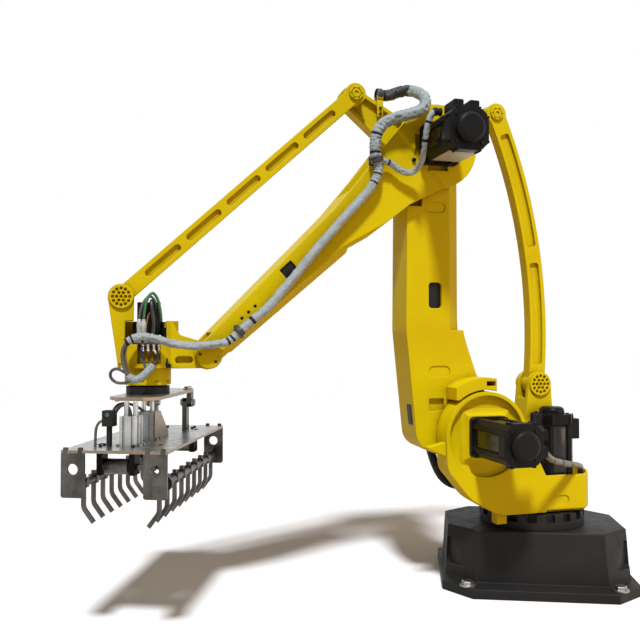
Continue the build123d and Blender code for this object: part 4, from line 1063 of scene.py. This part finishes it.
# air fittings in the wrist's cup: sizes of bars in metres, places and turned profiles in mm
airFittings = {
    "plate": (0.088, 0.030, 0.006), "plateAt": (176, 66, 39),
    "well": (0.082, 0.005, 0.0575), "wellAt": (178, 52, 6.75),
    "nipple": [(7.5, 0), (7.5, 6), (5.6, 7), (5.6, 15), (6.4, 16), (6.4, 21), (4.6, 23)],
    "plug": [(4.8, 0), (7.2, 4), (7.2, 22), (8.2, 24), (8.2, 34), (6.0, 44), (4.6, 50)],
    "over": [(x, 66, 41.5) for x in (146, 166, 186, 206)],
    "under": [(x, 66, 36.4) for x in (146, 162, 180, 196)],
    "plugs": [(x, 66, 62) for x in (193, 206)],
}
plate = named(block(airFittings["plate"], fromWrist(*airFittings["plateAt"])), "fittingPlate")
wear(plate, "clampSteel", "wrist")
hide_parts("air_fittings")
nipple = turned(airFittings["nipple"], 12)
nippleRows = (("airNipples", airFittings["over"], up), ("underNipples", airFittings["under"], -up))
for name, spots, way in nippleRows:
    nipples = copiesOf(nipple, [standing(fromWrist(*at), way) for at in spots], name)
    wear(nipples, "nickelFitting", "wrist")
# inner wall that shows through the cup's opening
cupWell = named(block(airFittings["well"], fromWrist(*airFittings["wellAt"])), "cupWell")
wear(cupWell, "castYellow", "wrist")
plug = turned(airFittings["plug"], 18)
plugs = copiesOf(plug, [standing(fromWrist(*at), up) for at in airFittings["plugs"]], "whitePlugs")
wear(plugs, "whiteTube", "wrist")

# plug that hangs at the end of the thin black lead
hangingPlug = {
    "body": [(4.0, 0), (5.4, 2), (5.4, 12), (7.0, 14), (7.0, 22), (5.0, 25)], "bodyAt": (126, 72.5, -6),
    "foot": (0.018, 0.012, 0.012), "footAt": (121, 72.2, -30),
}
plugBody = settle(turned(hangingPlug["body"], 16), standing(fromWrist(*hangingPlug["bodyAt"]), -up))
plugFoot = block(hangingPlug["foot"], fromWrist(*hangingPlug["footAt"]))
wear(joined([plugBody, plugFoot], "hangingPlug"), "mouldedBlack", "wrist")

# cable glands on the motors
gland = turned([(13.0, 0), (13.0, 7), (11.0, 8), (11.0, 15), (13.5, 16), (13.5, 23), (10.4, 27)], 16)
glandSpots = [
    ("shoulderGlands", "turntable", -ahead, [near(floorMiddle, 156, 298, z) for z in (488, 540)]),
    ("elbowGland", "upper_arm", ahead, [near(elbow, 43, 224, 76)]),
]
for name, body, way, spots in glandSpots:
    glands = copiesOf(gland, [standing(at, way) for at in spots], name)
    wear(glands, "mouldedBlack", body)

# barrels round the air cylinders, in the darker steel of painted shade, and the valve's lamp
barrel = {"band": (0.0202, 0.072, 0.0016), "at": [(-36, -230, 476.6), (12, 220, 476.6)]}
barrels = [settle(ringBand(*barrel["band"]), standing(gripPoint(*at), gripX)) for at in barrel["at"]]
wear(joined(barrels, "cylinderBarrels"), "darkSteel", "gripper")
lamp = settle(turned([(6.0, 0), (6.0, 2), (4.4, 3)], 20), standing(gripPoint(40, 223.6, 620), gripY))
wear(named(lamp, "valveLamp"), "greenTube", "gripper")
masters += [nipple, plug, gland]


def onGripper(spots, height, way=up):
    return [standing(gripPoint(x, y, height), way) for x, y in spots]


# fasteners by body: heights in the gripper and places in mm
adapterTop, adapterUnder, frameTop, strapBolt = 666.6, 656.6, 532.6, 622.6
strapX, strapY, strapHalf = (-72, 48), -187, 15.1
anchorTurn = math.radians(45 - 22)  # of the first bolt on its circle
fasteners = [
    ("anchorBolts", anchorBolt, "base", "zincScrew", "stainless_plate",
     ringOf(near(floorMiddle, 0, 0, 30), up, 0.340, 4, anchorTurn)),
    ("armScrews", midScrew, "upper_arm", "blackScrew", "black_plastic",
     [standing(armPoint(96, 20, 98), left)]),
    ("wristCoverPlugs", coverPlug, "wrist", "blackScrew", "black_plastic",
     [standing(fromWrist(x, 106.7, z), left) for x, z in ((8, 27), (28, 6), (-19, -17))]),
    ("elbowScrews", midScrew, "upper_arm", "blackScrew", "black_plastic",
     ringOf(near(elbow, 0, -106, 0), -left, 0.074, 12)),
    ("shoulderScrews", bigScrew, "lower_arm", "blackScrew", "black_plastic",
     ringOf(near(shoulder, 0, -65, 0), -left, 0.084, 12)),
    ("strapStuds", midNut, "gripper", "zincScrew", "stainless_plate",
     onGripper([(x, strapY + dy) for x in strapX for dy in (-7, 7)], adapterTop)),
    ("strapBolts", midNut, "gripper", "zincScrew", "stainless_plate",
     [standing(gripPoint(x + strapHalf * way, strapY, strapBolt), gripX * way)
      for x in strapX for way in (-1, 1)]),
    ("adapterNuts", smallNut, "gripper", "zincScrew", "stainless_plate",
     onGripper([(x, y) for x in (-52, 52) for y in (-120, -60, 60, 120)], adapterUnder, -up)),
    ("cylinderScrews", smallScrew, "gripper", "blackScrew", "stainless_plate",
     onGripper([(x + dx, y + dy) for x, y in ((-32, -230), (8, 220))
                for dx, dy in corners(47, 14)], frameTop)),
    ("postScrews", smallScrew, "gripper", "zincScrew", "stainless_plate",
     onGripper([(-22 + dx, y + dy) for y in (203, 63) for dx, dy in corners(34, 14)], frameTop)),
]
for name, master, body, look, slotName, places in fasteners:
    wear(copiesOf(master, places, name), look, body)
print("covers and fasteners placed")

for master in masters:
    bpy.data.objects.remove(master)


# camera, light and floor
view = {
    "at": (1.4464, 2.4170, 0.8351), "heading": (-0.2671, -0.9637, 0.0), "rise": 1.39,
    "focalPixels": 760.84, "pictureWidth": 640, "sensor": 36, "farEnd": 60,
}


def looking(direction):  # cameras and lamps look down their own -Z
    return Vector(direction).to_track_quat("-Z", "Y").to_matrix().to_4x4()


def placeCamera(s):
    lens = bpy.data.cameras.new("photoView")
    lens.sensor_width = s["sensor"]
    lens.lens = s["sensor"] * s["focalPixels"] / s["pictureWidth"]
    lens.clip_end = s["farEnd"]
    camera = placed("photoView", lens)
    rise = math.radians(s["rise"])
    heading = Vector(s["heading"]).normalized() * math.cos(rise) + up * math.sin(rise)
    camera.matrix_world = Matrix.Translation(s["at"]) @ looking(heading)
    bpy.context.scene.camera = camera


studio = {
    "sunFrom": (0.18, 0.60, 1.0), "sunPower": 3.5, "sunSoft": 7.0,
    "fillAt": (-2.6, 2.2, 1.1), "fillAim": (0.5, 0, 0.9), "fillPower": 34, "fillSize": 1.6,
    "fillTint": (1.0, 0.72, 0.44), "sky": (1.0, 0.79, 0.58, 1), "skyPower": 0.21,
}


def lightStudio(s):
    sun = bpy.data.lights.new("keySun", "SUN")
    sun.energy = s["sunPower"]
    sun.angle = math.radians(s["sunSoft"])
    placed("keySun", sun).matrix_world = looking(-Vector(s["sunFrom"]))
    area = bpy.data.lights.new("softFill", "AREA")
    area.energy = s["fillPower"]
    area.size = s["fillSize"]
    area.color = s["fillTint"]
    aim = Vector(s["fillAim"]) - Vector(s["fillAt"])
    placed("softFill", area).matrix_world = Matrix.Translation(s["fillAt"]) @ looking(aim)
    world = bpy.data.worlds.new("studio")
    bpy.context.scene.world = world
    world.use_nodes = True
    tree = world.node_tree
    ground = tree.nodes["Background"]
    seen = seenRays(tree)
    link(tree, blended(tree, seen, s["sky"], (1, 1, 1, 1)), ground, "Color")
    link(tree, ranged(tree, seen, 0, 1, s["skyPower"], 1.0), ground, "Strength")


floorPlan = {
    "size": 16.0, "tiles": 4, "colour": (0.94, 0.96, 1.0, 1), "shade": (0.925, 0.945, 0.985, 1),
    "bounce": (0.50, 0.34, 0.19, 1), "rough": 0.85,
}


def layFloor(s):
    dropSelection()
    bpy.ops.mesh.primitive_grid_add(
        x_subdivisions=s["tiles"], y_subdivisions=s["tiles"], size=s["size"], location=(0, 0, 0))
    floor = named(bpy.context.object, "studioFloor")
    look, tree, shader = newLook("paleFloor")
    pale = blended(tree, mottled(tree, objectPlace(tree), 0.7, 2), s["colour"], s["shade"])
    link(tree, blended(tree, seenRays(tree), s["bounce"], pale), shader, "Base Color")
    shader.inputs["Roughness"].default_value = s["rough"]
    floor.data.materials.append(look)


placeCamera(view)
lightStudio(studio)
layFloor(floorPlan)
bpy.context.scene.view_settings.view_transform = "Standard"
print("camera and light set")
